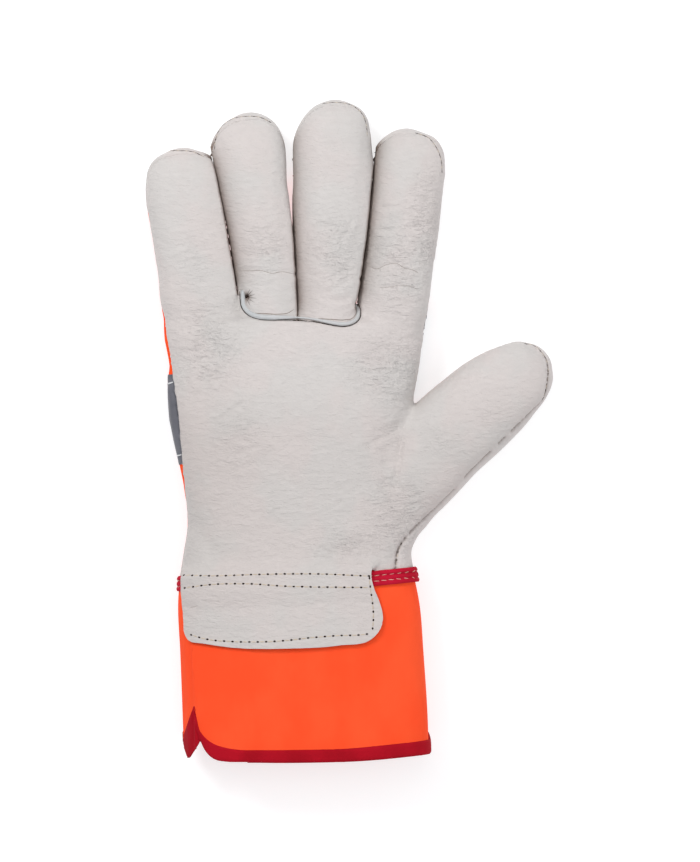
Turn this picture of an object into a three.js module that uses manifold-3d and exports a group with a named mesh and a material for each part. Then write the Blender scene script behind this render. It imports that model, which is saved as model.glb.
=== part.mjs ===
// A right-hand rigger glove lying on its back, palm up, as the object rests by itself on a table.
// The palm panel is one piece of grain leather that also makes the fronts of the little finger, the index
// finger and the thumb, and a flap over the cuff. The two middle fingers have fronts of their own, joined to
// the palm at a welt. The back is canvas with leather fingertips, index finger and thumb, and a reflective
// knuckle strip; a stiff cuff with a slit on the little finger's side is bound in tape at wrist and hem.
//
// Millimetres. While it is built, the origin is the middle of the wrist seam, with +Y towards the
// fingertips, +X towards the thumb and +Z up, out of the palm. The finished group is moved so that the
// origin is the middle of its bounding box, on the table.
import * as THREE from "three";
import { mergeVertices } from "three/addons/utils/BufferGeometryUtils.js";
import Module from "manifold-3d";

const wasm = await Module();
wasm.setup();

// Driving dimensions
const palmLength = 106; // wrist seam to the crotch of the two middle fingers
const palmWidth = 108; // across the knuckles
const palmThickness = 33;
const cuffLength = 75.5;
const cuffWidth = 100;
const cuffThickness = 36;
const leatherWall = 1.5;
const canvasWall = 1.3;
const cuffWall = 1.5;
const trimThickness = 1; // the reflective strip and the binding tape
const gap = 0.3; // clearance between pieces that touch
const bindingWidth = 6.2;
const stripWidth = 36.5;
const fingerGap = 0.5; // between neighbouring fingers
const weltWidth = 2;
const weltProud = 0.9; // how far the welt stands out of the leather

// Each finger's root is the middle of its crotch line; lean is its turn from +Y towards the thumb.
const fingers = {
  little: { rootX: -39.2, rootY: 107, length: 68.4, width: 30.6, thickness: 19.5, lean: -8.6 },
  ring: { rootX: -12.3, rootY: 106, length: 84.1, width: 30.2, thickness: 21, lean: -6.4 },
  middle: { rootX: 11.4, rootY: 105, length: 89.3, width: 33, thickness: 22, lean: 2.4 },
  index: { rootX: 37.6, rootY: 106, length: 77, width: 29.4, thickness: 21, lean: 5.3 },
  thumb: { rootX: 43.4, rootY: 40.4, length: 76.2, width: 32.6, thickness: 23, lean: 48 },
};

// Sections along each finger. along is a share of its length from the root, left and right are shares of half
// its width, and front and back are shares of its thickness above and below its widest line.
const fingerSections = {
  little: [
    { along: -0.22, left: 0.85, right: 0.9, front: 0.5, back: 0.5 },
    { along: 0.08, left: 1.06, right: 1.08, front: 0.56, back: 0.56 },
    { along: 0.3, left: 1.0, right: 1.06, front: 0.55, back: 0.53 },
    { along: 0.5, left: 1.02, right: 1.02, front: 0.52, back: 0.5 },
    { along: 0.72, left: 1.05, right: 0.98, front: 0.49, back: 0.47 },
    { along: 0.84, left: 0.98, right: 0.92, front: 0.45, back: 0.44 },
    { along: 0.92, left: 0.84, right: 0.83, front: 0.38, back: 0.39 },
    { along: 0.97, left: 0.6, right: 0.63, front: 0.28, back: 0.33 },
    { along: 1.0, left: 0.24, right: 0.28, front: 0.13, back: 0.25 },
  ],
  ring: [
    { along: -0.2, left: 0.72, right: 0.78, front: 0.56, back: 0.55 },
    { along: 0.08, left: 0.8, right: 0.82, front: 0.57, back: 0.55 },
    { along: 0.25, left: 0.86, right: 0.88, front: 0.56, back: 0.53 },
    { along: 0.46, left: 0.94, right: 0.93, front: 0.53, back: 0.5 },
    { along: 0.66, left: 1.02, right: 0.95, front: 0.5, back: 0.47 },
    { along: 0.8, left: 1.04, right: 0.98, front: 0.47, back: 0.45 },
    { along: 0.88, left: 0.98, right: 0.96, front: 0.43, back: 0.42 },
    { along: 0.94, left: 0.8, right: 0.84, front: 0.35, back: 0.37 },
    { along: 0.975, left: 0.55, right: 0.66, front: 0.26, back: 0.31 },
    { along: 1.0, left: 0.22, right: 0.3, front: 0.12, back: 0.24 },
  ],
  middle: [
    { along: -0.18, left: 0.72, right: 0.68, front: 0.56, back: 0.55 },
    { along: 0.09, left: 0.78, right: 0.78, front: 0.57, back: 0.55 },
    { along: 0.25, left: 0.84, right: 0.87, front: 0.56, back: 0.53 },
    { along: 0.44, left: 0.95, right: 0.93, front: 0.53, back: 0.5 },
    { along: 0.63, left: 1.02, right: 0.94, front: 0.5, back: 0.47 },
    { along: 0.79, left: 1.05, right: 0.92, front: 0.47, back: 0.45 },
    { along: 0.89, left: 0.94, right: 0.85, front: 0.43, back: 0.42 },
    { along: 0.945, left: 0.76, right: 0.74, front: 0.35, back: 0.37 },
    { along: 0.98, left: 0.54, right: 0.53, front: 0.25, back: 0.31 },
    { along: 1.0, left: 0.24, right: 0.24, front: 0.12, back: 0.24 },
  ],
  index: [
    { along: -0.2, left: 0.9, right: 0.8, front: 0.5, back: 0.5 },
    { along: 0.09, left: 1.0, right: 0.98, front: 0.57, back: 0.55 },
    { along: 0.28, left: 0.93, right: 1.03, front: 0.55, back: 0.53 },
    { along: 0.5, left: 0.92, right: 1.09, front: 0.52, back: 0.5 },
    { along: 0.7, left: 0.87, right: 1.09, front: 0.49, back: 0.47 },
    { along: 0.83, left: 0.87, right: 1.08, front: 0.46, back: 0.44 },
    { along: 0.91, left: 0.8, right: 0.94, front: 0.41, back: 0.4 },
    { along: 0.96, left: 0.64, right: 0.73, front: 0.32, back: 0.35 },
    { along: 0.985, left: 0.5, right: 0.52, front: 0.23, back: 0.3 },
    { along: 1.0, left: 0.24, right: 0.26, front: 0.12, back: 0.24 },
  ],
  thumb: [
    { along: -0.25, left: 0.6, right: 1.0, front: 0.5, back: 0.62 },
    { along: 0.05, left: 1.08, right: 1.18, front: 0.6, back: 0.6 },
    { along: 0.28, left: 1.19, right: 1.08, front: 0.58, back: 0.56 },
    { along: 0.54, left: 1.18, right: 1.06, front: 0.53, back: 0.51 },
    { along: 0.74, left: 1.04, right: 0.96, front: 0.49, back: 0.47 },
    { along: 0.87, left: 0.82, right: 0.83, front: 0.42, back: 0.42 },
    { along: 0.95, left: 0.55, right: 0.57, front: 0.31, back: 0.36 },
    { along: 1.0, left: 0.2, right: 0.24, front: 0.13, back: 0.26 },
  ],
};

// Sections along the palm. along is a share of its length, left and right are shares of its width, and
// front and back are shares of its thickness above and below its widest line.
const palmSections = [
  { along: -0.06, left: 0.45, right: 0.438, front: 0.5, back: 0.48 },
  { along: 0.0, left: 0.45, right: 0.436, front: 0.5, back: 0.48 },
  { along: 0.09, left: 0.435, right: 0.424, front: 0.49, back: 0.47 },
  { along: 0.2, left: 0.419, right: 0.45, front: 0.5, back: 0.45 },
  { along: 0.35, left: 0.431, right: 0.41, front: 0.52, back: 0.43 },
  { along: 0.5, left: 0.457, right: 0.405, front: 0.52, back: 0.42 },
  { along: 0.68, left: 0.481, right: 0.427, front: 0.5, back: 0.4 },
  { along: 0.82, left: 0.499, right: 0.453, front: 0.46, back: 0.37 },
  { along: 0.94, left: 0.512, right: 0.467, front: 0.42, back: 0.35 },
  { along: 0.985, left: 0.51, right: 0.468, front: 0.385, back: 0.335 },
  { along: 1.01, left: 0.5, right: 0.455, front: 0.28, back: 0.29 },
];

// Sections along the cuff, from just inside the wrist seam to just past the hem, in shares of its sizes.
const cuffSections = [
  { along: -0.08, left: 0.486, right: 0.471, front: 0.458, back: 0.44 },
  { along: 0.0, left: 0.486, right: 0.471, front: 0.458, back: 0.44 },
  { along: 0.13, left: 0.497, right: 0.49, front: 0.48, back: 0.45 },
  { along: 0.4, left: 0.49, right: 0.508, front: 0.5, back: 0.46 },
  { along: 0.7, left: 0.482, right: 0.523, front: 0.5, back: 0.47 },
  { along: 1.0, left: 0.472, right: 0.53, front: 0.49, back: 0.48 },
  { along: 1.1, left: 0.47, right: 0.532, front: 0.49, back: 0.48 },
];

// Where the seam between front and back runs, seen from above: x is a share of the palm's width, y of its
// length, and z of its thickness.
const seamMarks = [
  { x: 0.382, y: 0.0, z: 0.86 },
  { x: 0.397, y: 0.12, z: 0.8 },
  { x: 0.533, y: 0.277, z: 0.62 },
  { x: 0.76, y: 0.525, z: 0.6 },
  { x: 0.907, y: 0.68, z: 0.52 },
  { x: 0.95, y: 0.817, z: 0.4 },
  { x: 0.836, y: 0.902, z: 0.28 },
  { x: 0.597, y: 0.802, z: 0.33 },
  { x: 0.428, y: 0.651, z: 0.36 },
  { x: 0.477, y: 0.981, z: 0.31 },
  { x: 0.544, y: 1.549, z: 0.28 },
  { x: 0.412, y: 1.722, z: 0.33 },
  { x: 0.14, y: 1.834, z: 0.35 },
  { x: -0.2, y: 1.788, z: 0.35 },
  { x: -0.457, y: 1.649, z: 0.33 },
  { x: -0.571, y: 1.442, z: 0.3 },
  { x: -0.522, y: 1.063, z: 0.35 },
  { x: -0.51, y: 0.933, z: 0.54 },
  { x: -0.481, y: 0.682, z: 0.66 },
  { x: -0.45, y: 0.47, z: 0.64 },
  { x: -0.424, y: 0.297, z: 0.5 },
  { x: -0.428, y: 0.154, z: 0.46 },
  { x: -0.45, y: 0.0, z: 0.48 },
  { x: -0.231, y: 1.09, z: 0.33 },
  { x: -0.004, y: 0.99, z: 0.33 },
  { x: 0.216, y: 1.037, z: 0.33 },
];

// The line between each two neighbouring fingers, from their crotch outwards, in the same shares.
const cleftRoutes = [
  [
    { x: -0.231, y: 1.09 },
    { x: -0.276, y: 1.36 },
    { x: -0.323, y: 1.59 },
    { x: -0.37, y: 1.8 },
  ],
  [
    { x: -0.004, y: 0.99 },
    { x: -0.018, y: 1.24 },
    { x: -0.03, y: 1.5 },
    { x: -0.037, y: 1.9 },
  ],
  [
    { x: 0.216, y: 1.037 },
    { x: 0.254, y: 1.3 },
    { x: 0.284, y: 1.6 },
    { x: 0.31, y: 1.9 },
  ],
];

// The welt, from the crotch beside the little finger to the crotch beside the index finger, in shares of the
// palm's width and length.
const weltRoute = [
  { x: -0.2235, y: 1.125 },
  { x: -0.216, y: 1.063 },
  { x: -0.203, y: 1.033 },
  { x: -0.17, y: 1.009 },
  { x: -0.11, y: 1.0 },
  { x: -0.004, y: 0.998 },
  { x: 0.08, y: 0.986 },
  { x: 0.172, y: 0.974 },
  { x: 0.207, y: 0.983 },
  { x: 0.22, y: 1.008 },
  { x: 0.224, y: 1.07 },
];

// The flap's outline below the wrist seam, clockwise from its upper left corner, in shares of the palm's
// width and of the cuff's length.
const flapOutline = [
  { x: -0.436, y: 0.0 },
  { x: -0.437, y: -0.12 },
  { x: -0.428, y: -0.24 },
  { x: -0.424, y: -0.302 },
  { x: -0.408, y: -0.341 },
  { x: -0.357, y: -0.357 },
  { x: -0.257, y: -0.378 },
  { x: -0.05, y: -0.385 },
  { x: 0.15, y: -0.368 },
  { x: 0.27, y: -0.336 },
  { x: 0.304, y: -0.281 },
  { x: 0.314, y: -0.233 },
  { x: 0.302, y: -0.138 },
  { x: 0.276, y: -0.05 },
  { x: 0.269, y: 0.0 },
];

// The cuff's upper hem seen from above, as two edges that both start at the top of the slit: the front panel's,
// round its corner and on to the thumb's side, and the back panel's, round the little finger's side. Each row
// holds the outer edge of the binding tape and its inner edge, in shares of the cuff's width and length.
const frontHem = {
  outer: [
    { x: -0.427, y: -0.714 },
    { x: -0.4155, y: -0.806 },
    { x: -0.403, y: -0.882 },
    { x: -0.387, y: -0.92 },
    { x: -0.364, y: -0.96 },
    { x: -0.338, y: -0.981 },
    { x: -0.28, y: -0.992 },
    { x: 0.0, y: -1.0 },
    { x: 0.3, y: -1.0 },
    { x: 0.45, y: -0.985 },
    { x: 0.6, y: -0.93 },
  ],
  inner: [
    { x: -0.4285, y: -0.675 },
    { x: -0.416, y: -0.747 },
    { x: -0.4, y: -0.806 },
    { x: -0.375, y: -0.86 },
    { x: -0.343, y: -0.898 },
    { x: -0.3, y: -0.923 },
    { x: -0.2, y: -0.93 },
    { x: 0.3, y: -0.93 },
    { x: 0.6, y: -0.852 },
  ],
};
const backHem = {
  outer: [
    { x: -0.4315, y: -0.714 },
    { x: -0.42, y: -0.806 },
    { x: -0.41, y: -0.882 },
    { x: -0.43, y: -0.932 },
    { x: -0.455, y: -0.968 },
    { x: -0.48, y: -0.92 },
    { x: -0.54, y: -0.92 },
  ],
  inner: [
    { x: -0.4305, y: -0.675 },
    { x: -0.449, y: -0.768 },
    { x: -0.468, y: -0.85 },
    { x: -0.54, y: -0.85 },
  ],
};
const underHem = { outer: -0.92, inner: -0.85 }; // the hem on the underside, in shares of the cuff's length

const fingerSides = 14;
const palmSides = 24;
const fingerRoundness = 2.5; // 2 is an ellipse; more is squarer
const palmRoundness = 3;
const cuffRoundness = 2.8;
const sag = 1.15; // how much deeper a section would be if the table didn't flatten it
const restHeight = gap + trimThickness; // the strip and the bindings touch the table, the rest lies on them
const wristSlope = 0.042; // the wrist seam climbs towards the thumb
const far = 300; // past the edge of everything

// Basic solids

function solidFrom(geometry) {
  const bare = geometry.index ? geometry : geometry.clone();
  bare.deleteAttribute("normal");
  bare.deleteAttribute("uv");
  const merged = mergeVertices(bare, 1e-4);
  return new wasm.Manifold(
    new wasm.Mesh({
      numProp: 3,
      vertProperties: new Float32Array(merged.attributes.position.array),
      triVerts: new Uint32Array(merged.index.array),
    }),
  );
}

// A closed solid through rings that each have the same number of points, with a flat cap at each end.
function loft(rings) {
  const sides = rings[0].length;
  const points = rings.flat();
  const faces = [];
  const middleOf = (ring) => ring.reduce((sum, p) => sum.add(p), new THREE.Vector3()).divideScalar(sides);
  const firstCap = points.push(middleOf(rings[0])) - 1;
  const lastCap = points.push(middleOf(rings[rings.length - 1])) - 1;
  for (let r = 0; r + 1 < rings.length; r++) {
    for (let i = 0; i < sides; i++) {
      const [a, b] = [r * sides + i, r * sides + ((i + 1) % sides)];
      faces.push(a, a + sides, b, b, a + sides, b + sides);
    }
  }
  const lastRing = (rings.length - 1) * sides;
  for (let i = 0; i < sides; i++) {
    const next = (i + 1) % sides;
    faces.push(firstCap, i, next);
    faces.push(lastCap, lastRing + next, lastRing + i);
  }
  const geometry = new THREE.BufferGeometry().setFromPoints(points);
  geometry.setIndex(faces);
  return solidFrom(geometry);
}

// An upright solid with the given outline, seen from above.
function prism(outline, low = -far, high = far) {
  const geometry = new THREE.ExtrudeGeometry(new THREE.Shape(outline), { depth: 1, bevelEnabled: false });
  const corners = geometry.attributes.position;
  for (let i = 0; i < corners.count; i++) corners.setZ(i, corners.getZ(i) > 0.5 ? high : low);
  return solidFrom(geometry);
}

const vec2 = (x, y) => new THREE.Vector2(x, y);
const onPalm = (row) => vec2(row.x * palmWidth, row.y * palmLength);

// A route moved sideways, to its left when distance is positive.
function sideways(route, distance) {
  return route.map((point, i) => {
    const before = route[Math.max(i - 1, 0)];
    const after = route[Math.min(i + 1, route.length - 1)];
    const along = after.clone().sub(before).normalize();
    return vec2(point.x - along.y * distance, point.y + along.x * distance);
  });
}

// The band of ground between two distances beside a route.
function ribbon(route, width) {
  return prism([...sideways(route, -width / 2), ...sideways(route, width / 2).reverse()]);
}

// A band across the glove, tilted like the wrist seam unless a slope is given.
function bandAcross(low, high, slope = wristSlope) {
  const rise = slope * far;
  return prism([vec2(-far, low - rise), vec2(far, low + rise), vec2(far, high + rise), vec2(-far, high - rise)]);
}

// The glove's form. `out` is how far the surface asked for lies outside the leather's outer face.

// One rounded, flat-bottomed section. Its corners are squarer as roundness grows.
function section({ left, right, front, back, middle, floor, roundness, sides }) {
  const points = [];
  for (let i = 0; i < sides; i++) {
    const angle = (2 * Math.PI * i) / sides;
    const power = (value) => Math.sign(value) * Math.abs(value) ** (2 / roundness);
    const across = power(Math.cos(angle)) * (Math.cos(angle) > 0 ? right : left);
    const up = power(Math.sin(angle)) * (Math.sin(angle) > 0 ? front : back * sag);
    points.push({ across, up: Math.max(middle + up, floor) });
  }
  return points;
}

function fingerForm(name, out) {
  const { rootX, rootY, length, width, thickness, lean } = fingers[name];
  const turn = THREE.MathUtils.degToRad(lean);
  const forward = vec2(Math.sin(turn), Math.cos(turn));
  const rings = fingerSections[name].map((row) => {
    const reach = row.along < 0 ? -out : row.along > 0.5 ? out * row.along : 0;
    const distance = row.along * length + reach;
    const grown = (share) => share * (thickness + 2 * out);
    const points = section({
      left: row.left * (width / 2 + out),
      right: row.right * (width / 2 + out),
      front: grown(row.front),
      back: grown(row.back),
      middle: restHeight + row.back * thickness,
      floor: restHeight - out,
      roundness: fingerRoundness,
      sides: fingerSides,
    });
    const x = rootX + forward.x * distance;
    const y = rootY + forward.y * distance;
    return points.map((p) => new THREE.Vector3(x + p.across * forward.y, y - p.across * forward.x, p.up));
  });
  return loft(rings);
}

function palmForm(out) {
  const rings = palmSections.map((row) => {
    const y = row.along * palmLength + (row.along > 1 ? out : 0);
    return section({
      left: row.left * palmWidth + out,
      right: row.right * palmWidth + out,
      front: row.front * palmThickness + out,
      back: row.back * palmThickness + out,
      middle: restHeight + row.back * palmThickness,
      floor: restHeight - out,
      roundness: palmRoundness,
      sides: palmSides,
    }).map((p) => new THREE.Vector3(p.across, y, p.up));
  });
  return loft(rings);
}

function cuffForm(out) {
  const rings = cuffSections.map((row) =>
    section({
      left: row.left * cuffWidth + out,
      right: row.right * cuffWidth + out,
      front: row.front * cuffThickness + out,
      back: row.back * cuffThickness + out,
      middle: restHeight + row.back * cuffThickness,
      floor: restHeight - out,
      roundness: cuffRoundness,
      sides: palmSides,
    }).map((p) => new THREE.Vector3(p.across, -row.along * cuffLength, p.up)),
  );
  return loft(rings.reverse());
}

const allOf = (solids) => solids.reduce((sum, solid) => sum.add(solid));

// The clefts between neighbouring fingers, from each crotch to past the fingertips.
function clefts(out) {
  const width = fingerGap - 2 * out;
  return allOf(
    cleftRoutes.map((rows) => {
      const route = rows.map(onPalm);
      const outward = route[1].clone().sub(route[0]).normalize();
      route[0].addScaledVector(outward, out); // the wall goes round the crotch too
      return ribbon(route, Math.max(width, fingerGap / 2));
    }),
  );
}

const fingerPart = (name, out) => fingerForm(name, out).subtract(clefts(out));
const handForm = (out) =>
  allOf([palmForm(out), ...Object.keys(fingers).map((name) => fingerForm(name, out))]).subtract(clefts(out));

// How high the seam between front and back lies over a point of the plan: the marks' heights, the nearest
// ones counting most.
function seamHeight(x, y) {
  let total = 0;
  let weights = 0;
  for (const mark of seamMarks) {
    const distance = Math.hypot(x - mark.x * palmWidth, y - mark.y * palmLength);
    const weight = 1 / (distance + 1) ** 4;
    total += weight * mark.z * palmThickness;
    weights += weight;
  }
  return total / weights;
}

// Everything above the seam's height, raised by `lift`.
function frontSide(lift) {
  const step = 13;
  const [west, east] = [-0.75 * palmWidth, 1.15 * palmWidth];
  const [south, north] = [-0.15 * palmLength, 2.0 * palmLength];
  const [columns, rows] = [Math.round((east - west) / step), Math.round((north - south) / step)];
  const block = new THREE.BoxGeometry(east - west, north - south, 2, columns, rows, 1);
  block.translate((east + west) / 2, (north + south) / 2, 0);
  const corners = block.attributes.position;
  for (let i = 0; i < corners.count; i++) {
    const [x, y] = [corners.getX(i), corners.getY(i)];
    corners.setZ(i, corners.getZ(i) > 0 ? far : seamHeight(x, y) + lift);
  }
  return solidFrom(block);
}

// A cut can leave crumbs where three pieces meet, so only the piece itself is kept.
function largestOf(solid) {
  return solid.decompose().reduce((best, body) => (body.volume() > best.volume() ? body : best));
}

// Zones of the plan

const weltPath = weltRoute.map(onPalm);

// All that lies on the two middle fingers' side of the welt, kept `inset` away from the welt's middle.
function beyondWelt(inset) {
  const [nearLittle, , nearIndex] = cleftRoutes.map((rows) => rows.slice(1).map(onPalm));
  const edge = sideways(weltPath, inset);
  const [first, last] = [edge[0], edge[edge.length - 1]];
  const outward = 0.02 * palmWidth; // from a finger's side into the cleft
  const above = Math.min(inset, gap);
  return prism([
    vec2(first.x, first.y + above),
    ...edge,
    vec2(last.x, last.y + above),
    vec2(last.x + outward, last.y + above),
    ...nearIndex,
    ...nearLittle.reverse(),
    vec2(first.x - outward, first.y + above),
  ]);
}

// The end of a finger, from a share of its length to past its tip.
function fingerEnd(name, share, backOff = 0) {
  const { rootX, rootY, length, lean } = fingers[name];
  const turn = THREE.MathUtils.degToRad(lean);
  const forward = vec2(Math.sin(turn), Math.cos(turn));
  const across = vec2(forward.y, -forward.x);
  const place = (sidewaysBy, ahead) =>
    vec2(rootX, rootY).addScaledVector(across, sidewaysBy).addScaledVector(forward, ahead);
  const start = share * length - backOff;
  return prism([place(-far, start), place(far, start), place(far, far), place(-far, far)]);
}

// The thumb's side of the back, from the wrist to the crotch beside the index finger.
function thumbZone(grow) {
  const border = [
    { x: 0.33, y: -0.2 },
    { x: 0.33, y: 0.34 },
    { x: 0.42, y: 0.64 },
    { x: 0.52, y: 0.79 },
    { x: 0.8, y: 1.6 },
  ].map(onPalm);
  return prism([...sideways(border, grow), vec2(far, 1.6 * palmLength), vec2(far, -0.2 * palmLength)]);
}

// Panels of the hand

const hand = handForm(0);
const handShell = (wall) => hand.subtract(handForm(-wall));
const front = frontSide(gap / 2);
const notBack = frontSide(-gap / 2);
const bodyZone = bandAcross(gap / 2, far);
const weltSlot = ribbon(weltPath, weltWidth + 2 * gap);

const leatherInside = handForm(-leatherWall);
const frontShell = hand.subtract(leatherInside).intersect(front).intersect(bodyZone);
const middleFronts = fingerForm("ring", gap).add(fingerForm("middle", gap)).intersect(beyondWelt(0));
const palmPanel = largestOf(frontShell.subtract(middleFronts).subtract(weltSlot));

function fingerFront(name) {
  const shell = fingerPart(name, 0).subtract(leatherInside).intersect(front);
  return largestOf(shell.intersect(beyondWelt(weltWidth / 2 + gap)));
}

const welt = largestOf(
  handForm(weltProud).subtract(leatherInside).intersect(ribbon(weltPath, weltWidth)).intersect(front),
);

// The flap steps over the wrist binding and lies on the cuff below it.
function wristLayer(outer, inner) {
  const around = (out) => palmForm(out).add(cuffForm(out));
  return around(outer).subtract(around(inner));
}

const flapPlan = flapOutline.map((row) => vec2(row.x * palmWidth, row.y * cuffLength));
const bindingReach = bindingWidth / 2; // the tape lies half on the hand and half on the cuff
const flapStep = 2; // how long the leather takes to climb onto the tape and down again
const flapTop = bindingReach + gap + flapStep;
const flapZone = prism([
  vec2(flapPlan[0].x, flapTop),
  ...flapPlan,
  vec2(flapPlan[flapPlan.length - 1].x, flapTop),
], palmThickness / 2);
const overTape = 2 * gap + trimThickness;
const flap = allOf([
  wristLayer(overTape + leatherWall, overTape).intersect(bandAcross(-bindingReach - gap - flapStep, flapTop)),
  wristLayer(overTape + leatherWall, -leatherWall).intersect(bandAcross(bindingReach + gap, flapTop)),
  wristLayer(overTape + leatherWall, gap).intersect(
    bandAcross(-bindingReach - gap - flapStep, -bindingReach - gap),
  ),
  wristLayer(gap + leatherWall, gap).intersect(bandAcross(-far, -bindingReach - gap)),
]).intersect(flapZone);

const canvasShell = hand.subtract(handForm(-canvasWall)).subtract(notBack).intersect(bodyZone);
const leatherBack = hand.subtract(leatherInside).subtract(notBack).intersect(bodyZone);
const tipShare = 0.66; // where a leather fingertip starts along its finger
const indexShare = 0.1; // where the leather back of the index finger starts
const leatherEnds = { little: tipShare, ring: tipShare, middle: tipShare, index: indexShare };

function leatherEnd(name) {
  const shell = fingerPart(name, 0).subtract(leatherInside).subtract(notBack);
  return largestOf(shell.intersect(fingerEnd(name, leatherEnds[name])));
}

const endsTaken = allOf(
  Object.entries(leatherEnds).map(([name, share]) =>
    fingerForm(name, gap).intersect(fingerEnd(name, share, gap)),
  ),
);
const backPanel = largestOf(canvasShell.subtract(endsTaken).subtract(thumbZone(gap)));
const thumbBack = largestOf(leatherBack.intersect(thumbZone(0)).subtract(endsTaken));

// Trim

const stripSlope = 0.27; // the strip follows the knuckles, which rise towards the index finger
const stripLow = 0.557 * palmLength; // its lower edge over the hand's middle
const strip = largestOf(
  handForm(gap + trimThickness)
    .subtract(handForm(gap))
    .subtract(frontSide(-gap))
    .intersect(bandAcross(stripLow, stripLow + stripWidth * Math.hypot(1, stripSlope), stripSlope))
    .subtract(thumbZone(gap)),
);

const wristBinding = wristLayer(gap + trimThickness, gap).intersect(bandAcross(-bindingReach, bindingReach));

// Cuff

const underTop = restHeight + 0.46 * cuffThickness; // where the underside's hem gives way to the upper one

// The cuff above one of the hem's edges, kept `inset` inside it.
function cuffAbove(edge, inset) {
  const onCuff = (row) => vec2(row.x * cuffWidth, row.y * cuffLength);
  const frontEdge = sideways(frontHem[edge].map(onCuff), inset);
  const backEdge = sideways(backHem[edge].map(onCuff), -inset);
  const slitTop = frontEdge[0].clone().add(backEdge[0]).multiplyScalar(0.5);
  slitTop.y += inset;
  const [right, left] = [frontEdge[frontEdge.length - 1], backEdge[backEdge.length - 1]];
  const wrist = [vec2(far, wristSlope * far - gap / 2), vec2(-far, -wristSlope * far - gap / 2)];
  const upper = [slitTop, ...frontEdge, vec2(far, right.y), ...wrist, vec2(-far, left.y), ...backEdge.reverse()];
  const underY = underHem[edge] * cuffLength + inset;
  const under = [vec2(-far, underY), vec2(far, underY), ...wrist];
  return prism(upper, underTop, far).add(prism(under, -far, underTop));
}

const cuff = cuffForm(0).subtract(cuffForm(-cuffWall)).intersect(cuffAbove("outer", trimThickness + gap));
const hemBinding = cuffForm(gap + trimThickness)
  .subtract(cuffForm(-cuffWall - gap - trimThickness))
  .intersect(cuffAbove("outer", 0).subtract(cuffAbove("inner", 0)))
  .subtract(cuffForm(gap).subtract(cuffForm(-cuffWall - gap)).intersect(cuffAbove("outer", trimThickness)));

// The glove

const palmLeather = largestOf(palmPanel.add(flap));

function meshOf(name, solid, color, roughness, metalness = 0) {
  const made = largestOf(solid.simplify(0.03)).getMesh();
  const geometry = new THREE.BufferGeometry();
  geometry.setAttribute("position", new THREE.BufferAttribute(new Float32Array(made.vertProperties), 3));
  geometry.setIndex(new THREE.BufferAttribute(new Uint32Array(made.triVerts), 1));
  geometry.computeVertexNormals();
  const mesh = new THREE.Mesh(geometry, new THREE.MeshStandardMaterial({ color, roughness, metalness }));
  mesh.name = name;
  return mesh;
}

const leatherColour = 0xd8d2cd;
const weltColour = 0xc3c6ca;
const orangeColour = 0xff5722;
const tapeColour = 0xb01c30;
const reflectiveColour = 0x77757a;

const glove = new THREE.Group();
glove.add(
  meshOf("palm_leather", palmLeather, leatherColour, 0.75),
  meshOf("ring_finger_front", fingerFront("ring"), leatherColour, 0.75),
  meshOf("middle_finger_front", fingerFront("middle"), leatherColour, 0.75),
  meshOf("finger_welt", welt, weltColour, 0.7),
  meshOf("glove_back", backPanel, orangeColour, 0.9),
  meshOf("index_finger_back", leatherEnd("index"), leatherColour, 0.75),
  meshOf("little_fingertip", leatherEnd("little"), leatherColour, 0.75),
  meshOf("ring_fingertip", leatherEnd("ring"), leatherColour, 0.75),
  meshOf("middle_fingertip", leatherEnd("middle"), leatherColour, 0.75),
  meshOf("thumb_back", thumbBack, leatherColour, 0.75),
  meshOf("knuckle_strip", strip, reflectiveColour, 0.5, 0.3),
  meshOf("wrist_binding", wristBinding, tapeColour, 0.85),
  meshOf("cuff", cuff, orangeColour, 0.9),
  meshOf("hem_binding", hemBinding, tapeColour, 0.85),
);

const bounds = new THREE.Box3().setFromObject(glove);
const middle = bounds.getCenter(new THREE.Vector3());
glove.position.set(-middle.x, -middle.y, -bounds.min.z);

export default glove;
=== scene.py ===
# %% [markdown]
# # A leather rigger glove, palm up
#
# The real glove is cut from flat pieces of leather and canvas, sewn together inside out and turned. It lies
# on a table with its palm up, and it keeps the round form that the stiff leather gives it. The imported model
# holds its true sizes as plain panels. This script makes the same panels again with the softness, seams,
# wrinkles and stitches that show, and each one is shown in place of the imported panel that it stands for,
# which is hidden.
#
# Everything is worked out in millimetres from the middle of the wrist seam, with +Y towards the fingertips,
# +X towards the thumb and +Z up, and only the finished pieces are moved into the model's own frame.

# %% Load the fixed frame
import math

import bmesh
import bpy
import numpy as np
from mathutils import Matrix, Vector, noise
from mathutils.bvhtree import BVHTree
from mathutils.kdtree import KDTree


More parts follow.
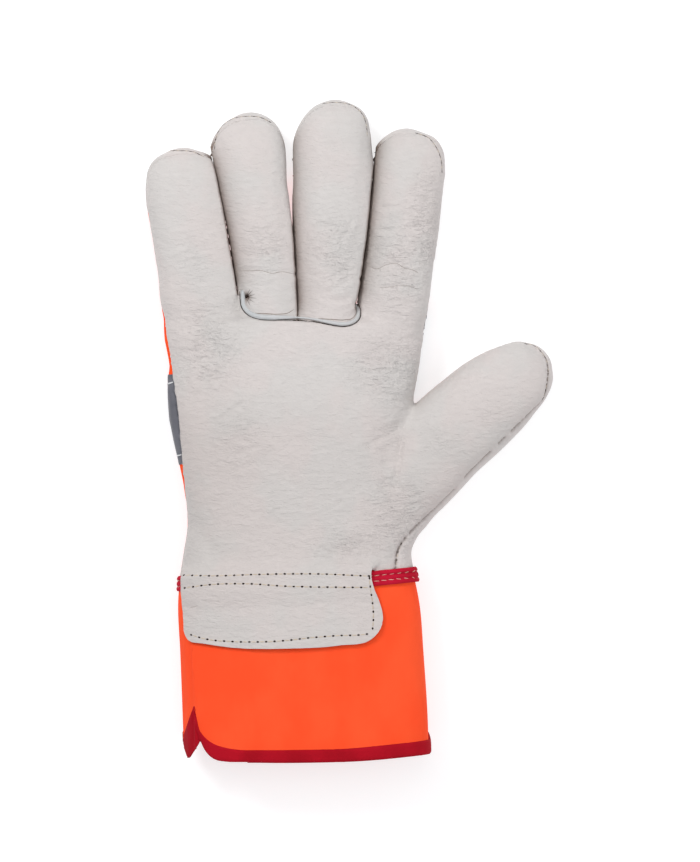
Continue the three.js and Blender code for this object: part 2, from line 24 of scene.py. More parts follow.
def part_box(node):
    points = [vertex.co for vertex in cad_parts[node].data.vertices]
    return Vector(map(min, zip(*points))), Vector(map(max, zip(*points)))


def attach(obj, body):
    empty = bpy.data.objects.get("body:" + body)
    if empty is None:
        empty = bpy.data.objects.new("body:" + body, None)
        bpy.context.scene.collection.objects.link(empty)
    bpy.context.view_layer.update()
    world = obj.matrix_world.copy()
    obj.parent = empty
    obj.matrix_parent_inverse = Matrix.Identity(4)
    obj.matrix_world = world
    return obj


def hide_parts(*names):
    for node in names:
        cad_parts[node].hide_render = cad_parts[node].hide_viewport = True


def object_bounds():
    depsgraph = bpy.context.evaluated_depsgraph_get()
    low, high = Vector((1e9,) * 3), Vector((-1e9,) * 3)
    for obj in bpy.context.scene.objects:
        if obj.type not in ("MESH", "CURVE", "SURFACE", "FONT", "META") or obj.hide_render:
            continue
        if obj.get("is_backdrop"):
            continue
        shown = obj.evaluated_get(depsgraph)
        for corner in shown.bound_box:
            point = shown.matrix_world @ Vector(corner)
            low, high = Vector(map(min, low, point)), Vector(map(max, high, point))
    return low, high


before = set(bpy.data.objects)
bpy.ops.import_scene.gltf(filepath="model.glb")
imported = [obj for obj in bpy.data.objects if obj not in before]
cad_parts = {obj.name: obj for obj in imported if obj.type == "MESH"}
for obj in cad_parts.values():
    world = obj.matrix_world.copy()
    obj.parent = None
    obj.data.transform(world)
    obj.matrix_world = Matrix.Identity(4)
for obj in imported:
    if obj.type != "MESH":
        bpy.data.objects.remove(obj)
cad_low, cad_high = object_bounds()
print("packed panels:", ", ".join(sorted(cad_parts)))

# %% [markdown]
# ## Sizes
#
# A maker starts from a few body sizes and from shares of them. The same ones drive this script, so a panel
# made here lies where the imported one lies. Each section table has a row for one slice through a finger, the
# palm or the cuff: how far along it is, and how far it reaches left, right, up and down.

# %% Driving sizes, in millimetres
palm_length, palm_width, palm_thickness = 106.0, 108.0, 33.0
cuff_length, cuff_width, cuff_thickness = 75.5, 100.0, 36.0
leather_wall, canvas_wall, cuff_wall, trim_thickness = 1.3, 1.1, 1.3, 1.0
gap = 0.3
tape_width = 6.2
strip_width, strip_slope, strip_low = 36.5, 0.27, 0.557 * palm_length
wrist_slope = 0.042
rest_height = gap + trim_thickness
sag = 1.15
palm_roundness, cuff_roundness = 3.0, 2.8  # 2 is an ellipse; more is squarer

# root x, root y, length, width, thickness, lean in degrees
fingers = {
    "little": (-39.2, 107.0, 68.4, 30.6, 19.5, -8.6),
    "ring": (-12.3, 106.0, 83.6, 30.2, 21.0, -6.4),
    "middle": (11.4, 105.0, 89.3, 33.0, 22.0, 2.4),
    "index": (37.6, 106.0, 77.0, 29.4, 21.0, 5.3),
    "thumb": (43.4, 40.4, 76.2, 32.6, 23.0, 48.0),
}
side_by_side = ("little", "ring", "middle", "index")

# how square each finger is on its left and on its right: a finger stands steeply over its right neighbour,
# which rolls away under it
finger_roundness = {
    "little": (2.5, 3.0),
    "ring": (2.15, 3.0),
    "middle": (2.15, 3.0),
    "index": (2.15, 2.6),
    "thumb": (2.5, 2.5),
}

# %% Section tables: along, left, right, front, back
finger_sections = {
    "little": (
        (-0.22, 0.85, 0.90, 0.50, 0.50),
        (0.08, 1.06, 1.08, 0.56, 0.56),
        (0.30, 1.00, 1.06, 0.55, 0.53),
        (0.50, 1.02, 1.02, 0.52, 0.50),
        (0.72, 1.05, 0.98, 0.49, 0.47),
        (0.84, 0.98, 0.92, 0.45, 0.44),
        (0.92, 0.84, 0.78, 0.38, 0.39),
        (0.97, 0.60, 0.57, 0.28, 0.33),
        (1.00, 0.24, 0.28, 0.13, 0.25),
    ),
    "ring": (
        (-0.20, 0.72, 0.78, 0.56, 0.55),
        (0.08, 0.80, 0.82, 0.57, 0.55),
        (0.25, 0.86, 0.88, 0.56, 0.53),
        (0.46, 0.94, 0.93, 0.53, 0.50),
        (0.66, 1.02, 0.95, 0.50, 0.47),
        (0.80, 1.00, 0.95, 0.47, 0.45),
        (0.88, 0.95, 0.89, 0.43, 0.42),
        (0.94, 0.79, 0.74, 0.35, 0.37),
        (0.975, 0.55, 0.56, 0.26, 0.31),
        (1.00, 0.22, 0.30, 0.12, 0.24),
    ),
    "middle": (
        (-0.18, 0.72, 0.68, 0.56, 0.55),
        (0.09, 0.78, 0.78, 0.57, 0.55),
        (0.25, 0.84, 0.87, 0.56, 0.53),
        (0.44, 0.95, 0.93, 0.53, 0.50),
        (0.63, 1.02, 0.94, 0.50, 0.47),
        (0.79, 1.03, 0.86, 0.47, 0.45),
        (0.89, 0.88, 0.80, 0.43, 0.42),
        (0.945, 0.68, 0.73, 0.35, 0.37),
        (0.98, 0.48, 0.53, 0.25, 0.31),
        (1.00, 0.24, 0.24, 0.12, 0.24),
    ),
    "index": (
        (-0.20, 0.90, 0.80, 0.50, 0.50),
        (0.09, 1.00, 0.98, 0.57, 0.55),
        (0.28, 0.93, 1.03, 0.55, 0.53),
        (0.50, 0.92, 1.09, 0.52, 0.50),
        (0.70, 0.87, 1.09, 0.49, 0.47),
        (0.83, 0.82, 1.09, 0.46, 0.44),
        (0.91, 0.73, 0.99, 0.41, 0.40),
        (0.96, 0.56, 0.81, 0.32, 0.35),
        (0.985, 0.44, 0.61, 0.23, 0.30),
        (1.00, 0.24, 0.26, 0.12, 0.24),
    ),
    "thumb": (
        (-0.25, 0.60, 1.20, 0.50, 0.62),
        (0.05, 1.08, 1.165, 0.60, 0.60),
        (0.28, 1.19, 1.07, 0.58, 0.56),
        (0.54, 1.18, 1.06, 0.53, 0.51),
        (0.74, 1.04, 0.96, 0.49, 0.47),
        (0.87, 0.82, 0.83, 0.42, 0.42),
        (0.95, 0.61, 0.60, 0.31, 0.36),
        (1.00, 0.27, 0.26, 0.13, 0.26),
    ),
}
palm_sections = (
    (0.00, 0.450, 0.436, 0.500, 0.480),
    (0.09, 0.435, 0.424, 0.490, 0.470),
    (0.20, 0.419, 0.450, 0.500, 0.450),
    (0.35, 0.431, 0.410, 0.520, 0.430),
    (0.50, 0.457, 0.405, 0.520, 0.420),
    (0.68, 0.481, 0.427, 0.500, 0.400),
    (0.82, 0.488, 0.453, 0.460, 0.370),
    (0.94, 0.508, 0.467, 0.420, 0.350),
    (0.985, 0.510, 0.468, 0.385, 0.335),
    (1.01, 0.500, 0.455, 0.280, 0.290),
)
cuff_sections = (
    (0.00, 0.484, 0.471, 0.458, 0.440),
    (0.13, 0.491, 0.490, 0.480, 0.450),
    (0.40, 0.484, 0.508, 0.500, 0.460),
    (0.70, 0.476, 0.523, 0.500, 0.470),
    (1.00, 0.468, 0.530, 0.490, 0.480),
    (1.10, 0.466, 0.532, 0.490, 0.480),
)

# %% [markdown]
# ## Lines on the glove
#
# The seam between the palm side and the back is a line in space: seen from above it runs round the glove, and
# its height changes on the way. The other lines are drawn on the plan, as a maker chalks them on leather: the
# clefts between the fingers, the welt across the two middle ones, the flap over the cuff, and the cuff's hem
# with its slit. All are shares of the palm or of the cuff.

# %% Seam marks: x and y in shares of the palm, height in shares of its thickness
seam_marks = (
    (0.380, 0.000, 0.48),
    (0.395, 0.120, 0.46),
    (0.533, 0.277, 0.42),
    (0.760, 0.525, 0.36),
    (0.907, 0.680, 0.34),
    (0.950, 0.817, 0.33),
    (0.836, 0.902, 0.36),
    (0.597, 0.802, 0.33),
    (0.428, 0.651, 0.36),
    (0.477, 0.981, 0.31),
    (0.544, 1.549, 0.34),
    (0.412, 1.722, 0.38),
    (0.140, 1.834, 0.40),
    (-0.200, 1.788, 0.39),
    (-0.457, 1.649, 0.38),
    (-0.571, 1.442, 0.34),
    (-0.522, 1.063, 0.35),
    (-0.510, 0.933, 0.50),
    (-0.492, 0.800, 0.54),
    (-0.481, 0.682, 0.66),
    (-0.450, 0.470, 0.64),
    (-0.424, 0.297, 0.50),
    (-0.428, 0.154, 0.46),
    (-0.450, 0.000, 0.48),
    (-0.231, 1.090, 0.12),
    (-0.004, 0.990, 0.14),
    (0.216, 1.037, 0.12),
    (-0.262, 1.280, 0.10),
    (-0.300, 1.470, 0.13),
    (-0.023, 1.380, 0.13),
    (0.240, 1.230, 0.10),
    (0.270, 1.430, 0.13),
)

# %% Places in the photograph, as places on the plan
photo_scale = 0.4085  # millimetres for each pixel
wrist_pixel = (299.0, 577.0)


def from_photo(spots):
    spots = np.array(spots, float)
    return (spots - wrist_pixel) * (photo_scale, -photo_scale)


# %% Lines on the plan
on_palm = np.array((palm_width, palm_length))
on_flap = np.array((palm_width, cuff_length))
cleft_routes = [
    np.array(route) * on_palm
    for route in (
        ((-0.231, 1.09), (-0.276, 1.36), (-0.323, 1.59), (-0.37, 1.8)),
        ((-0.004, 0.99), (-0.019, 1.24), (-0.034, 1.5), (-0.042, 1.9)),
        ((0.216, 1.037), (0.254, 1.3), (0.284, 1.6), (0.31, 1.9)),
    )
]
welt_route = from_photo((
    (241.2, 290.5), (241.6, 299), (242.2, 305), (244.6, 310), (250, 315), (257.5, 317.8), (270, 319),
    (283, 319), (299, 319.2), (311.7, 320.4), (323.3, 322.6), (335, 324.8), (345, 325.6), (352.5, 323.6),
    (358, 319.6), (359.6, 314), (358.8, 308), (356.6, 304),
))
thumb_seam = from_photo((
    (396.2, 590), (396.3, 572), (396.6, 564), (397.6, 554), (401.5, 545), (410.5, 534), (431, 514), (447, 498),
    (466, 477), (483, 460), (500, 443.5), (520, 424), (535, 409.5), (544, 400), (547.4, 390), (549, 380),
    (549.2, 370), (547.4, 360), (542.4, 352.5), (534.4, 345.5), (524, 341), (512, 336),
))
flap_outline = np.array((
    (-0.431, 0.0), (-0.432, -0.12), (-0.425, -0.24), (-0.421, -0.302), (-0.408, -0.341), (-0.357, -0.357),
    (-0.257, -0.378), (-0.05, -0.385), (0.15, -0.368), (0.27, -0.336), (0.304, -0.281), (0.314, -0.233),
    (0.302, -0.138), (0.276, -0.05), (0.269, 0.0),
)) * on_flap
front_hem = {
    "outer": from_photo((
        (194.1, 712), (195.2, 719.4), (198.4, 732.5), (200.9, 739.4), (205.8, 750), (210.8, 755.8), (216, 759),
        (228.3, 761), (262, 762), (316, 761.8), (363, 760.2), (400, 757), (431, 753.3), (446, 750.5),
    )),
    "inner": from_photo((
        (194.2, 706.5), (195.4, 713.8), (197.6, 721.3), (200.8, 730.6), (205.8, 736.9), (212, 741.9),
        (225.8, 746.9), (237.6, 748.8), (262, 749.3), (300, 749), (350, 747.6), (383, 744.5), (430, 739),
        (446, 736),
    )),
}
back_hem = {
    "outer": from_photo((
        (193.7, 712), (194.8, 719.4), (198, 732.5), (200.5, 739.7), (195, 747.5), (188.6, 756.5),
        (187, 756), (183.5, 746), (182, 740), (165, 738),
    )),
    "inner": from_photo((
        (193.6, 706.5), (192, 711.9), (188.9, 720), (185.1, 731.3), (183, 735.6), (165, 735.6),
    )),
}
slit_corner = from_photo((
    (194, 705.5), (192, 711), (188.9, 719.5), (185.5, 729.5), (183.2, 736), (182.5, 740), (184, 747.5),
    (186.8, 755.6), (187.7, 757.2), (188.4, 757.2), (189.8, 755.6), (195, 748), (200.4, 740), (201.6, 741.5),
    (199.8, 732), (197.1, 719.4), (195.4, 712), (194.6, 705.5),
))
under_hem = {"outer": -0.893 * cuff_length, "inner": -0.825 * cuff_length}
under_top = rest_height + 0.46 * cuff_thickness
side_height = under_top - 7

# %% Where the wrist seam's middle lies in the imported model
MM = 0.001
origin_x, origin_y = -20.40, -59.44
to_frame = Matrix.Translation((origin_x * MM, origin_y * MM, 0)) @ Matrix.Diagonal((MM, MM, MM, 1))
tape_low, tape_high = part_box("wrist_binding")
print("the wrist tape's middle is at", to_frame.inverted() @ ((tape_low + tape_high) / 2))

# %% [markdown]
# ## Helpers for curves
#
# A table row every few centimetres is enough to describe a finger if a smooth curve runs through the rows.
# The curve used here is the cubic that has, at each row, the slope that its two neighbours suggest.

# %% A smooth curve through a few values
def smooth_curve(knots, values, at):
    slopes = np.gradient(values, knots, axis=0)
    before = np.clip(np.searchsorted(knots, at) - 1, 0, len(knots) - 2)
    width = (knots[before + 1] - knots[before])[:, None]
    t = (at[:, None] - knots[before][:, None]) / width
    return (
        (2 * t**3 - 3 * t**2 + 1) * values[before]
        + (t**3 - 2 * t**2 + t) * width * slopes[before]
        + (3 * t**2 - 2 * t**3) * values[before + 1]
        + (t**3 - t**2) * width * slopes[before + 1]
    )


def smooth_rows(rows, step):
    """A section table filled in between its rows, at most `step` apart in its first column."""
    rows = np.array(rows)
    count = max(2, math.ceil((rows[-1, 0] - rows[0, 0]) / step) + 1)
    at = np.linspace(rows[0, 0], rows[-1, 0], count)
    return np.column_stack([at, smooth_curve(rows[:, 0], rows[:, 1:], at)])


def run_along(points):
    """How far along a path each of its points is."""
    return np.concatenate([[0], np.cumsum(np.linalg.norm(np.diff(points, axis=0), axis=1))])


def smooth_path(points, step):
    """A path in the plan or in space, filled in between its points, about `step` apart."""
    points = np.array(points, float)
    run = run_along(points)
    return smooth_curve(run, points, np.linspace(0, run[-1], max(2, round(run[-1] / step) + 1)))


def directions(path):
    """The direction of a path at each of its points, with length 1."""
    ahead = np.gradient(path, axis=0)
    return ahead / np.linalg.norm(ahead, axis=1)[:, None]


# %% [markdown]
# ## The form of the hand
#
# Each finger and the palm is a loft: a circle of edges is extruded from slice to slice, and each new circle is
# set to the slice's rounded shape. Joining lofts by hand would leave hard creases, so the closed lofts overlap
# and a voxel remesh takes the outer skin of all of them as one even grid. Some smoothing then gives the
# fillets that leather has where fingers meet the palm.

# %% One rounded, flat-bottomed slice
def slice_points(left, right, front, back, middle, roundness, sides):
    """Evenly spaced points round a slice, as how far across and how far up each one is."""
    angle = np.linspace(0, 2 * math.pi, 12 * sides + 1)
    power = 2 / np.where(np.cos(angle) < 0, *np.broadcast_to(roundness, 2))
    across, up = (np.sign(wave) * np.abs(wave) ** power for wave in (np.cos(angle), np.sin(angle)))
    across = across * np.where(np.cos(angle) > 0, right, left)
    up = up * np.where(np.sin(angle) > 0, front, back * sag)
    up = np.maximum(middle + up, rest_height)
    run = np.concatenate([[0], np.cumsum(np.hypot(np.diff(across), np.diff(up)))])
    even = np.linspace(0, run[-1], sides, endpoint=False)
    return np.interp(even, run, across), np.interp(even, run, up)


finger_sides, palm_sides = 48, 120
ring_step = 2.0
slot_half = 1.0  # half the width of a cleft while the form is made; it is closed up afterwards
gap_cleft, gap_from, gap_half = 1, (142, 160), 0.6  # the tips of the ring and middle fingers stand apart


# %% Rings of a finger
def keep_off_clefts(x, y, name):
    """Moves the points of a finger back from the clefts on its two sides."""
    if name not in side_by_side:
        return x
    place = side_by_side.index(name)
    for side, number in ((1, place), (-1, place - 1)):
        if 0 <= number < len(cleft_routes):
            route = cleft_routes[number]
            half = slot_half + np.interp(y, gap_from, (0, gap_half)) * (number == gap_cleft)
            limit = np.interp(y, route[:, 1], route[:, 0]) - side * half
            x = np.where(y > route[0, 1], side * np.minimum(side * x, side * limit), x)
    return x


def finger_rings(name):
    root_x, root_y, length, width, thickness, lean = fingers[name]
    ahead = np.array((math.sin(math.radians(lean)), math.cos(math.radians(lean))))
    rows = list(smooth_rows(finger_sections[name], ring_step / length))
    rows.append(rows[-1] * (1, 0.3, 0.3, 0.3, 0.85) + (0.007, 0, 0, 0, 0))
    rings = []
    for along, left, right, front, back in rows:
        middle = rest_height + back * thickness
        sizes = (left * width / 2, right * width / 2, front * thickness, back * thickness)
        across, up = slice_points(*sizes, middle, finger_roundness[name], finger_sides)
        x = root_x + ahead[0] * along * length + across * ahead[1]
        y = root_y + ahead[1] * along * length - across * ahead[0]
        rings.append(np.column_stack([keep_off_clefts(x, y, name), y, up]))
    return rings


# %% Rings of the palm and of the cuff
palm_size = (palm_width, palm_width, palm_thickness, palm_thickness)
cuff_size = (cuff_width, cuff_width, cuff_thickness, cuff_thickness)


def level_ring(y, left, right, front, back, roundness, sides):
    across, up = slice_points(left, right, front, back, rest_height + back, roundness, sides)
    return np.column_stack([across, np.full(sides, y), up])


def palm_rings(step, sides=palm_sides):
    rows = smooth_rows(palm_sections, step / palm_length)
    return [level_ring(row[0] * palm_length, *(row[1:] * palm_size), palm_roundness, sides) for row in rows]


def cuff_rings(step, sides=palm_sides):
    rows = smooth_rows(cuff_sections, step / cuff_length)
    return [level_ring(-row[0] * cuff_length, *(row[1:] * cuff_size), cuff_roundness, sides) for row in rows]


# %% A loft: a circle of edges extruded through rings of points
def add_loft(shape, rings, closed=True):
    loop = bmesh.ops.create_circle(shape, segments=len(rings[0]), radius=1)["verts"]
    edges = list({edge for vert in loop for edge in vert.link_edges})
    for vert, point in zip(loop, rings[0]):
        vert.co = point
    ends = [edges]
    for ring in rings[1:]:
        grown = bmesh.ops.extrude_edge_only(shape, edges=edges)["geom"]
        edges = [item for item in grown if isinstance(item, bmesh.types.BMEdge)]
        new = {item for item in grown if isinstance(item, bmesh.types.BMVert)}
        loop = [next(e.other_vert(v) for e in v.link_edges if e.other_vert(v) in new) for v in loop]
        for vert, point in zip(loop, ring):
            vert.co = point
    ends.append(edges)
    if closed:
        for end in ends:
            bmesh.ops.holes_fill(shape, edges=end, sides=0)
    return loop


form = bmesh.new()
for name in fingers:
    add_loft(form, finger_rings(name))
flap_reach = 36.0
upper_cuff = [ring for ring in cuff_rings(ring_step) if ring[0, 1] > -flap_reach]
add_loft(form, palm_rings(ring_step)[::-1] + upper_cuff[1:])
bmesh.ops.recalc_face_normals(form, faces=form.faces)
print("lofts:", len(form.verts), "points")


# %% Numbers in and out of a mesh
def points_of(shape):
    return np.array([vert.co[:] for vert in shape.verts])


def set_points(shape, points):
    for vert, point in zip(shape.verts, points.tolist()):
        vert.co = point


def evenly_remeshed(shape, voxel):
    mesh = bpy.data.meshes.new("form")
    shape.to_mesh(mesh)
    shape.free()
    lump = bpy.data.objects.new("form", mesh)
    bpy.context.scene.collection.objects.link(lump)
    grid = lump.modifiers.new("grid", "REMESH")
    grid.mode = "VOXEL"
    grid.voxel_size = voxel
    even = bmesh.new()
    even.from_object(lump, bpy.context.evaluated_depsgraph_get())
    bpy.data.objects.remove(lump)
    bpy.data.meshes.remove(mesh)
    return even


def smoothen(shape, verts, passes):
    for _ in range(passes):
        bmesh.ops.smooth_vert(
            shape, verts=verts, factor=0.5, use_axis_x=True, use_axis_y=True, use_axis_z=True
        )


voxel, form_passes = 0.85, 14
hand = evenly_remeshed(form, voxel)
smoothen(hand, hand.verts, form_passes)


# %% A soft thumb root: pixel x and y, reach, passes
soft_places = ((404, 450, 22, 14), (406, 440, 14, 24), (398, 500, 18, 14))
upper_half = 12


def plan_distance(vert, pixel_x, pixel_y):
    middle = from_photo((pixel_x, pixel_y))
    return math.hypot(vert.co.x - middle[0], vert.co.y - middle[1])


for *pixel, reach, passes in soft_places:
    near = [vert for vert in hand.verts if vert.co.z > upper_half and plan_distance(vert, *pixel) < reach]
    smoothen(hand, near, passes)

# %% The fullness that smoothing took away, and three full places: pixel x and y, reach in pixels, swelling
hand.normal_update()
smoothing_loss = 0.3
full_places = ((470, 478, 34, 0.1), (424, 530, 12, 1.0), (416, 552, 9, -0.4))
for vert in hand.verts:
    swelling = smoothing_loss
    for *pixel, reach, height in full_places:
        apart = plan_distance(vert, *pixel) / (reach * photo_scale)
        swelling += height * math.exp(-(apart**2))
    vert.co += vert.normal * swelling
print("hand form:", len(hand.verts), "points")


# %% Close the clefts
def nearest_on(route, x, y):
    """Distance to a path in the plan, and the nearest point on it."""
    spot = np.column_stack([x, y])
    best = np.full(len(x), np.inf)
    nearest = np.zeros((len(x), 2))
    for start, end in zip(route[:-1], route[1:]):
        along = end - start
        share = np.clip((spot - start) @ along / (along @ along), 0, 1)
        foot = start + share[:, None] * along
        far = np.linalg.norm(spot - foot, axis=1)
        closer = far < best
        best[closer] = far[closer]
        nearest[closer] = foot[closer]
    return best, nearest


cleft_half, cleft_reach, closed_half = 0.12, 5.0, 1.5
points = points_of(hand)
for number, route in enumerate(cleft_routes):
    apart, foot = nearest_on(route, points[:, 0], points[:, 1])
    closed = np.interp(apart, (0, closed_half, cleft_reach), (0, cleft_half, cleft_reach))
    if number == gap_cleft:
        closed += (apart - closed) * np.interp(points[:, 1], gap_from, (0, 1))
    near = apart < cleft_reach
    pull = (closed[near] / np.maximum(apart[near], 1e-6))[:, None]
    points[near, :2] = foot[near] + (points[near, :2] - foot[near]) * pull
set_points(hand, points)

# %% [markdown]
# ## Cutting panels out of the form
#
# A panel's edge is a line drawn on the form. Blender's knife for a whole mesh is bisect_plane, which cuts along
# a flat plane. To cut along a curved line instead, each point's height is swapped for a measure that is
# zero on the line, the mesh is cut where that height is zero, and the true places are put back. They are kept
# in a layer of the mesh, and the cut gives its new points their share of it.

# %% The curved knife
place = hand.verts.layers.float_vector.new("place")


def cut_where_zero(shape, measure, allowed=None):
    """Cuts the mesh along the line where a measure of its points changes sign."""
    layer = shape.verts.layers.float_vector["place"]
    spots = points_of(shape)
    usable = np.ones(len(spots), bool) if allowed is None else allowed(spots)
    heights = np.ones(len(spots))
    heights[usable] = measure(spots[usable])
    shape.verts.index_update()
    crossing = []
    for face in shape.faces:
        corner = [heights[vert.index] for vert in face.verts]
        if min(corner) < 0 < max(corner) and all(usable[vert.index] for vert in face.verts):
            crossing.append(face)
    pieces = set(crossing)
    for face in crossing:
        pieces.update(face.verts)
        pieces.update(face.edges)
    touched = [item for item in pieces if isinstance(item, bmesh.types.BMVert)]
    for vert in touched:
        vert[layer] = vert.co
        vert.co.z = heights[vert.index]
    made = bmesh.ops.bisect_plane(
        shape, geom=list(pieces), dist=0.06, plane_co=(0, 0, 0), plane_no=(0, 0, 1)
    )
    touched += [item for item in made["geom_cut"] if isinstance(item, bmesh.types.BMVert)]
    for vert in set(touched):
        vert.co = vert[layer]
    return len(crossing)


# %% Measures: how far a point is past each line
def signed_area_side(polygon, x, y):
    """Positive inside a closed outline on the plan, by the distance to it."""
    apart, _ = nearest_on(np.vstack([polygon, polygon[:1]]), x, y)
    inside = np.zeros(len(x), bool)
    for (x0, y0), (x1, y1) in zip(polygon, np.roll(polygon, -1, axis=0)):
        crosses = (y0 > y) != (y1 > y)
        with np.errstate(divide="ignore", invalid="ignore"):
            inside ^= crosses & (x < x0 + (y - y0) * (x1 - x0) / (y1 - y0))
    return np.where(inside, apart, -apart)


round_the_glove = smooth_path(np.array(seam_marks[:24]) * (palm_width, palm_length, palm_thickness), 6)
crotch_marks = np.array(seam_marks[24:]) * (palm_width, palm_length, palm_thickness)
marks = np.vstack([round_the_glove, crotch_marks])


def seam_height(x, y):
    """The height of the seam over a point of the plan: the marks' heights, the nearest ones counting most."""
    total, weights = np.zeros(x.shape), np.zeros(x.shape)
    for mark_x, mark_y, height in marks:
        weight = 1 / (np.hypot(x - mark_x, y - mark_y) + 1) ** 4
        total += weight * height
        weights += weight
    below_wrist = np.clip(-y / 4, 0, 1)  # the cuff has no such seam, so there it parts top from bottom
    return (1 - below_wrist) * total / weights + below_wrist * palm_thickness / 2


thumb_seam_line = smooth_path(thumb_seam, 2.5)
palm_side = np.vstack([thumb_seam_line, (60.0, 400.0), (-400.0, 400.0), (-400.0, -400.0), (39.7, -400.0)])
seam_step = 1.5
seam_x, seam_y = np.arange(-85, 125, seam_step), np.arange(-45, 215, seam_step)
seam_grid = seam_height(*np.meshgrid(seam_x, seam_y))


def above_seam(spots):
    """Positive on the palm's side of the seam. On the thumb the seam lies on top, so there it is a plan line."""
    column, row = (spots[:, 0] - seam_x[0]) / seam_step, (spots[:, 1] - seam_y[0]) / seam_step
    left = np.clip(column.astype(int), 0, len(seam_x) - 2)
    low = np.clip(row.astype(int), 0, len(seam_y) - 2)
    right_share, upper_share = column - left, row - low
    lower = seam_grid[low, left] * (1 - right_share) + seam_grid[low, left + 1] * right_share
    upper = seam_grid[low + 1, left] * (1 - right_share) + seam_grid[low + 1, left + 1] * right_share
    above = spots[:, 2] - lower * (1 - upper_share) - upper * upper_share
    on_thumb = (spots[:, 0] > 36) & (spots[:, 1] < 100) & (above > -3)
    above[on_thumb] = np.minimum(above[on_thumb], signed_area_side(palm_side, *spots[on_thumb, :2].T))
    return above


def above_wrist(spots):
    return spots[:, 1] - wrist_slope * spots[:, 0]


welt_path = smooth_path(welt_route, 1.5)
beside_welt = np.array((2.0, 0.0))
welt_zone = np.vstack([
    welt_path,
    welt_path[-1] + beside_welt,
    cleft_routes[2][1:],
    cleft_routes[0][:0:-1],
    welt_path[0] - beside_welt,
])


def beyond_welt(spots):
    return signed_area_side(welt_zone, spots[:, 0], spots[:, 1])


def along_finger(name, spots):
    root_x, root_y, length, _, _, lean = fingers[name]
    ahead = (math.sin(math.radians(lean)), math.cos(math.radians(lean)))
    return ((spots[:, 0] - root_x) * ahead[0] + (spots[:, 1] - root_y) * ahead[1]) / length


def right_of_cleft(number, spots):
    route = cleft_routes[number]
    return spots[:, 0] - np.interp(spots[:, 1], route[:, 1], route[:, 0])


thumb_border = np.array(((0.33, -0.2), (0.33, 0.34), (0.42, 0.64), (0.52, 0.79), (0.8, 1.6))) * on_palm
thumb_line = smooth_path(thumb_border, 4)


def thumb_side(spots):
    limit = np.interp(spots[:, 1], thumb_line[:, 1], thumb_line[:, 0])
    return spots[:, 0] - limit


# %% The lower edge of the palm leather, with the flap
tape_half = tape_width / 2
tape_drop = 1.3  # the tape's middle lies about this far below the wrist seam
tape_top = tape_half - tape_drop
under_tape = 0.2  # the leather beside the flap ends this far above the wrist seam, under the tape
flap_curve = smooth_path(flap_outline, 2)
flap_right, flap_left = flap_outline[-1][0], flap_outline[0][0]
leather_zone = np.vstack([
    flap_curve,
    (flap_right + 0.1, tape_top + wrist_slope * flap_right),
    (flap_right + 1.6, tape_top + wrist_slope * flap_right),
    (flap_right + 2.2, under_tape + wrist_slope * flap_right),
    (200.0, under_tape + wrist_slope * 200),
    (200.0, 250.0),
    (-200.0, 250.0),
    (-200.0, under_tape - wrist_slope * 200),
    (flap_left - 0.8, under_tape + wrist_slope * flap_left),
])


def in_leather_zone(spots):
    return signed_area_side(leather_zone, spots[:, 0], spots[:, 1])


# %% The palm's side and the back
on_the_line = 1e-3  # a point this near to a line lies on it


def on_front(spots):
    return above_seam(spots) > -on_the_line


def on_back(spots):
    return above_seam(spots) < on_the_line


# %% Cut the seam first, with a few more lines beside it for its pucker
def find_seam(shape):
    heights = above_seam(points_of(shape))
    return [vert.co.copy() for vert, height in zip(shape.verts, heights) if abs(height) < on_the_line]


seam_verge = (0.0, 0.8, -0.8, 1.7, -1.7)
for offset in seam_verge:
    cut_where_zero(hand, lambda spots: above_seam(spots) - offset)
seam_points = find_seam(hand)
print("seam:", len(seam_points), "points;", "hand:", len(hand.verts))

# %% Cut the other panel edges
welt_verge = (0.0, 1.0, -1.0, 2.0, -2.0)
for offset in welt_verge:
    cut_where_zero(hand, lambda spots: beyond_welt(spots) - offset, on_front)
cut_where_zero(hand, in_leather_zone, on_front)
cut_where_zero(hand, lambda spots: above_wrist(spots) - under_tape, on_back)
fingertip_share, index_back_share = 0.66, 0.1
back_ends = dict.fromkeys(("little", "ring", "middle"), fingertip_share) | {"index": index_back_share}
for name, share in back_ends.items():
    cut_where_zero(hand, lambda spots: along_finger(name, spots) - share, on_back)
cut_where_zero(hand, thumb_side, on_back)
strip_rise = strip_width * math.hypot(1, strip_slope)


def past_strip(spots):
    return spots[:, 1] - strip_slope * spots[:, 0] - strip_low


strip_lap = 0.8  # the strip's end reaches this far over the seam's edge
def on_strip_side(spots):
    return above_seam(spots) < strip_lap + 0.1


for edge in (0, strip_rise):
    cut_where_zero(hand, lambda spots: past_strip(spots) - edge, on_strip_side)
print("cut hand:", len(hand.verts), "points")

# %% Name each face of the cut form by its panel
def centres_of(shape):
    return np.array([face.calc_center_median()[:] for face in shape.faces])


centres = centres_of(hand)
front = above_seam(centres) > 0
above_tape = above_wrist(centres) > under_tape
panel_faces = {"palm_leather": front & (in_leather_zone(centres) > 0) & (beyond_welt(centres) < 0)}
middle_fronts = front & (beyond_welt(centres) > 0)
panel_faces["ring_finger_front"] = middle_fronts & (right_of_cleft(1, centres) < 0)
panel_faces["middle_finger_front"] = middle_fronts & (right_of_cleft(1, centres) > 0)
back = ~front & above_tape
on_thumb = back & (thumb_side(centres) > 0)
finger_side = np.sum([right_of_cleft(number, centres) > 0 for number in range(3)], axis=0)
back_left = back & ~on_thumb
for number, (finger, share) in enumerate(back_ends.items()):
    name = "index_finger_back" if finger == "index" else finger + "_fingertip"
    panel_faces[name] = back & ~on_thumb & (finger_side == number) & (along_finger(finger, centres) > share)
    back_left &= ~panel_faces[name]
panel_faces["thumb_back"] = on_thumb
panel_faces["glove_back"] = back_left
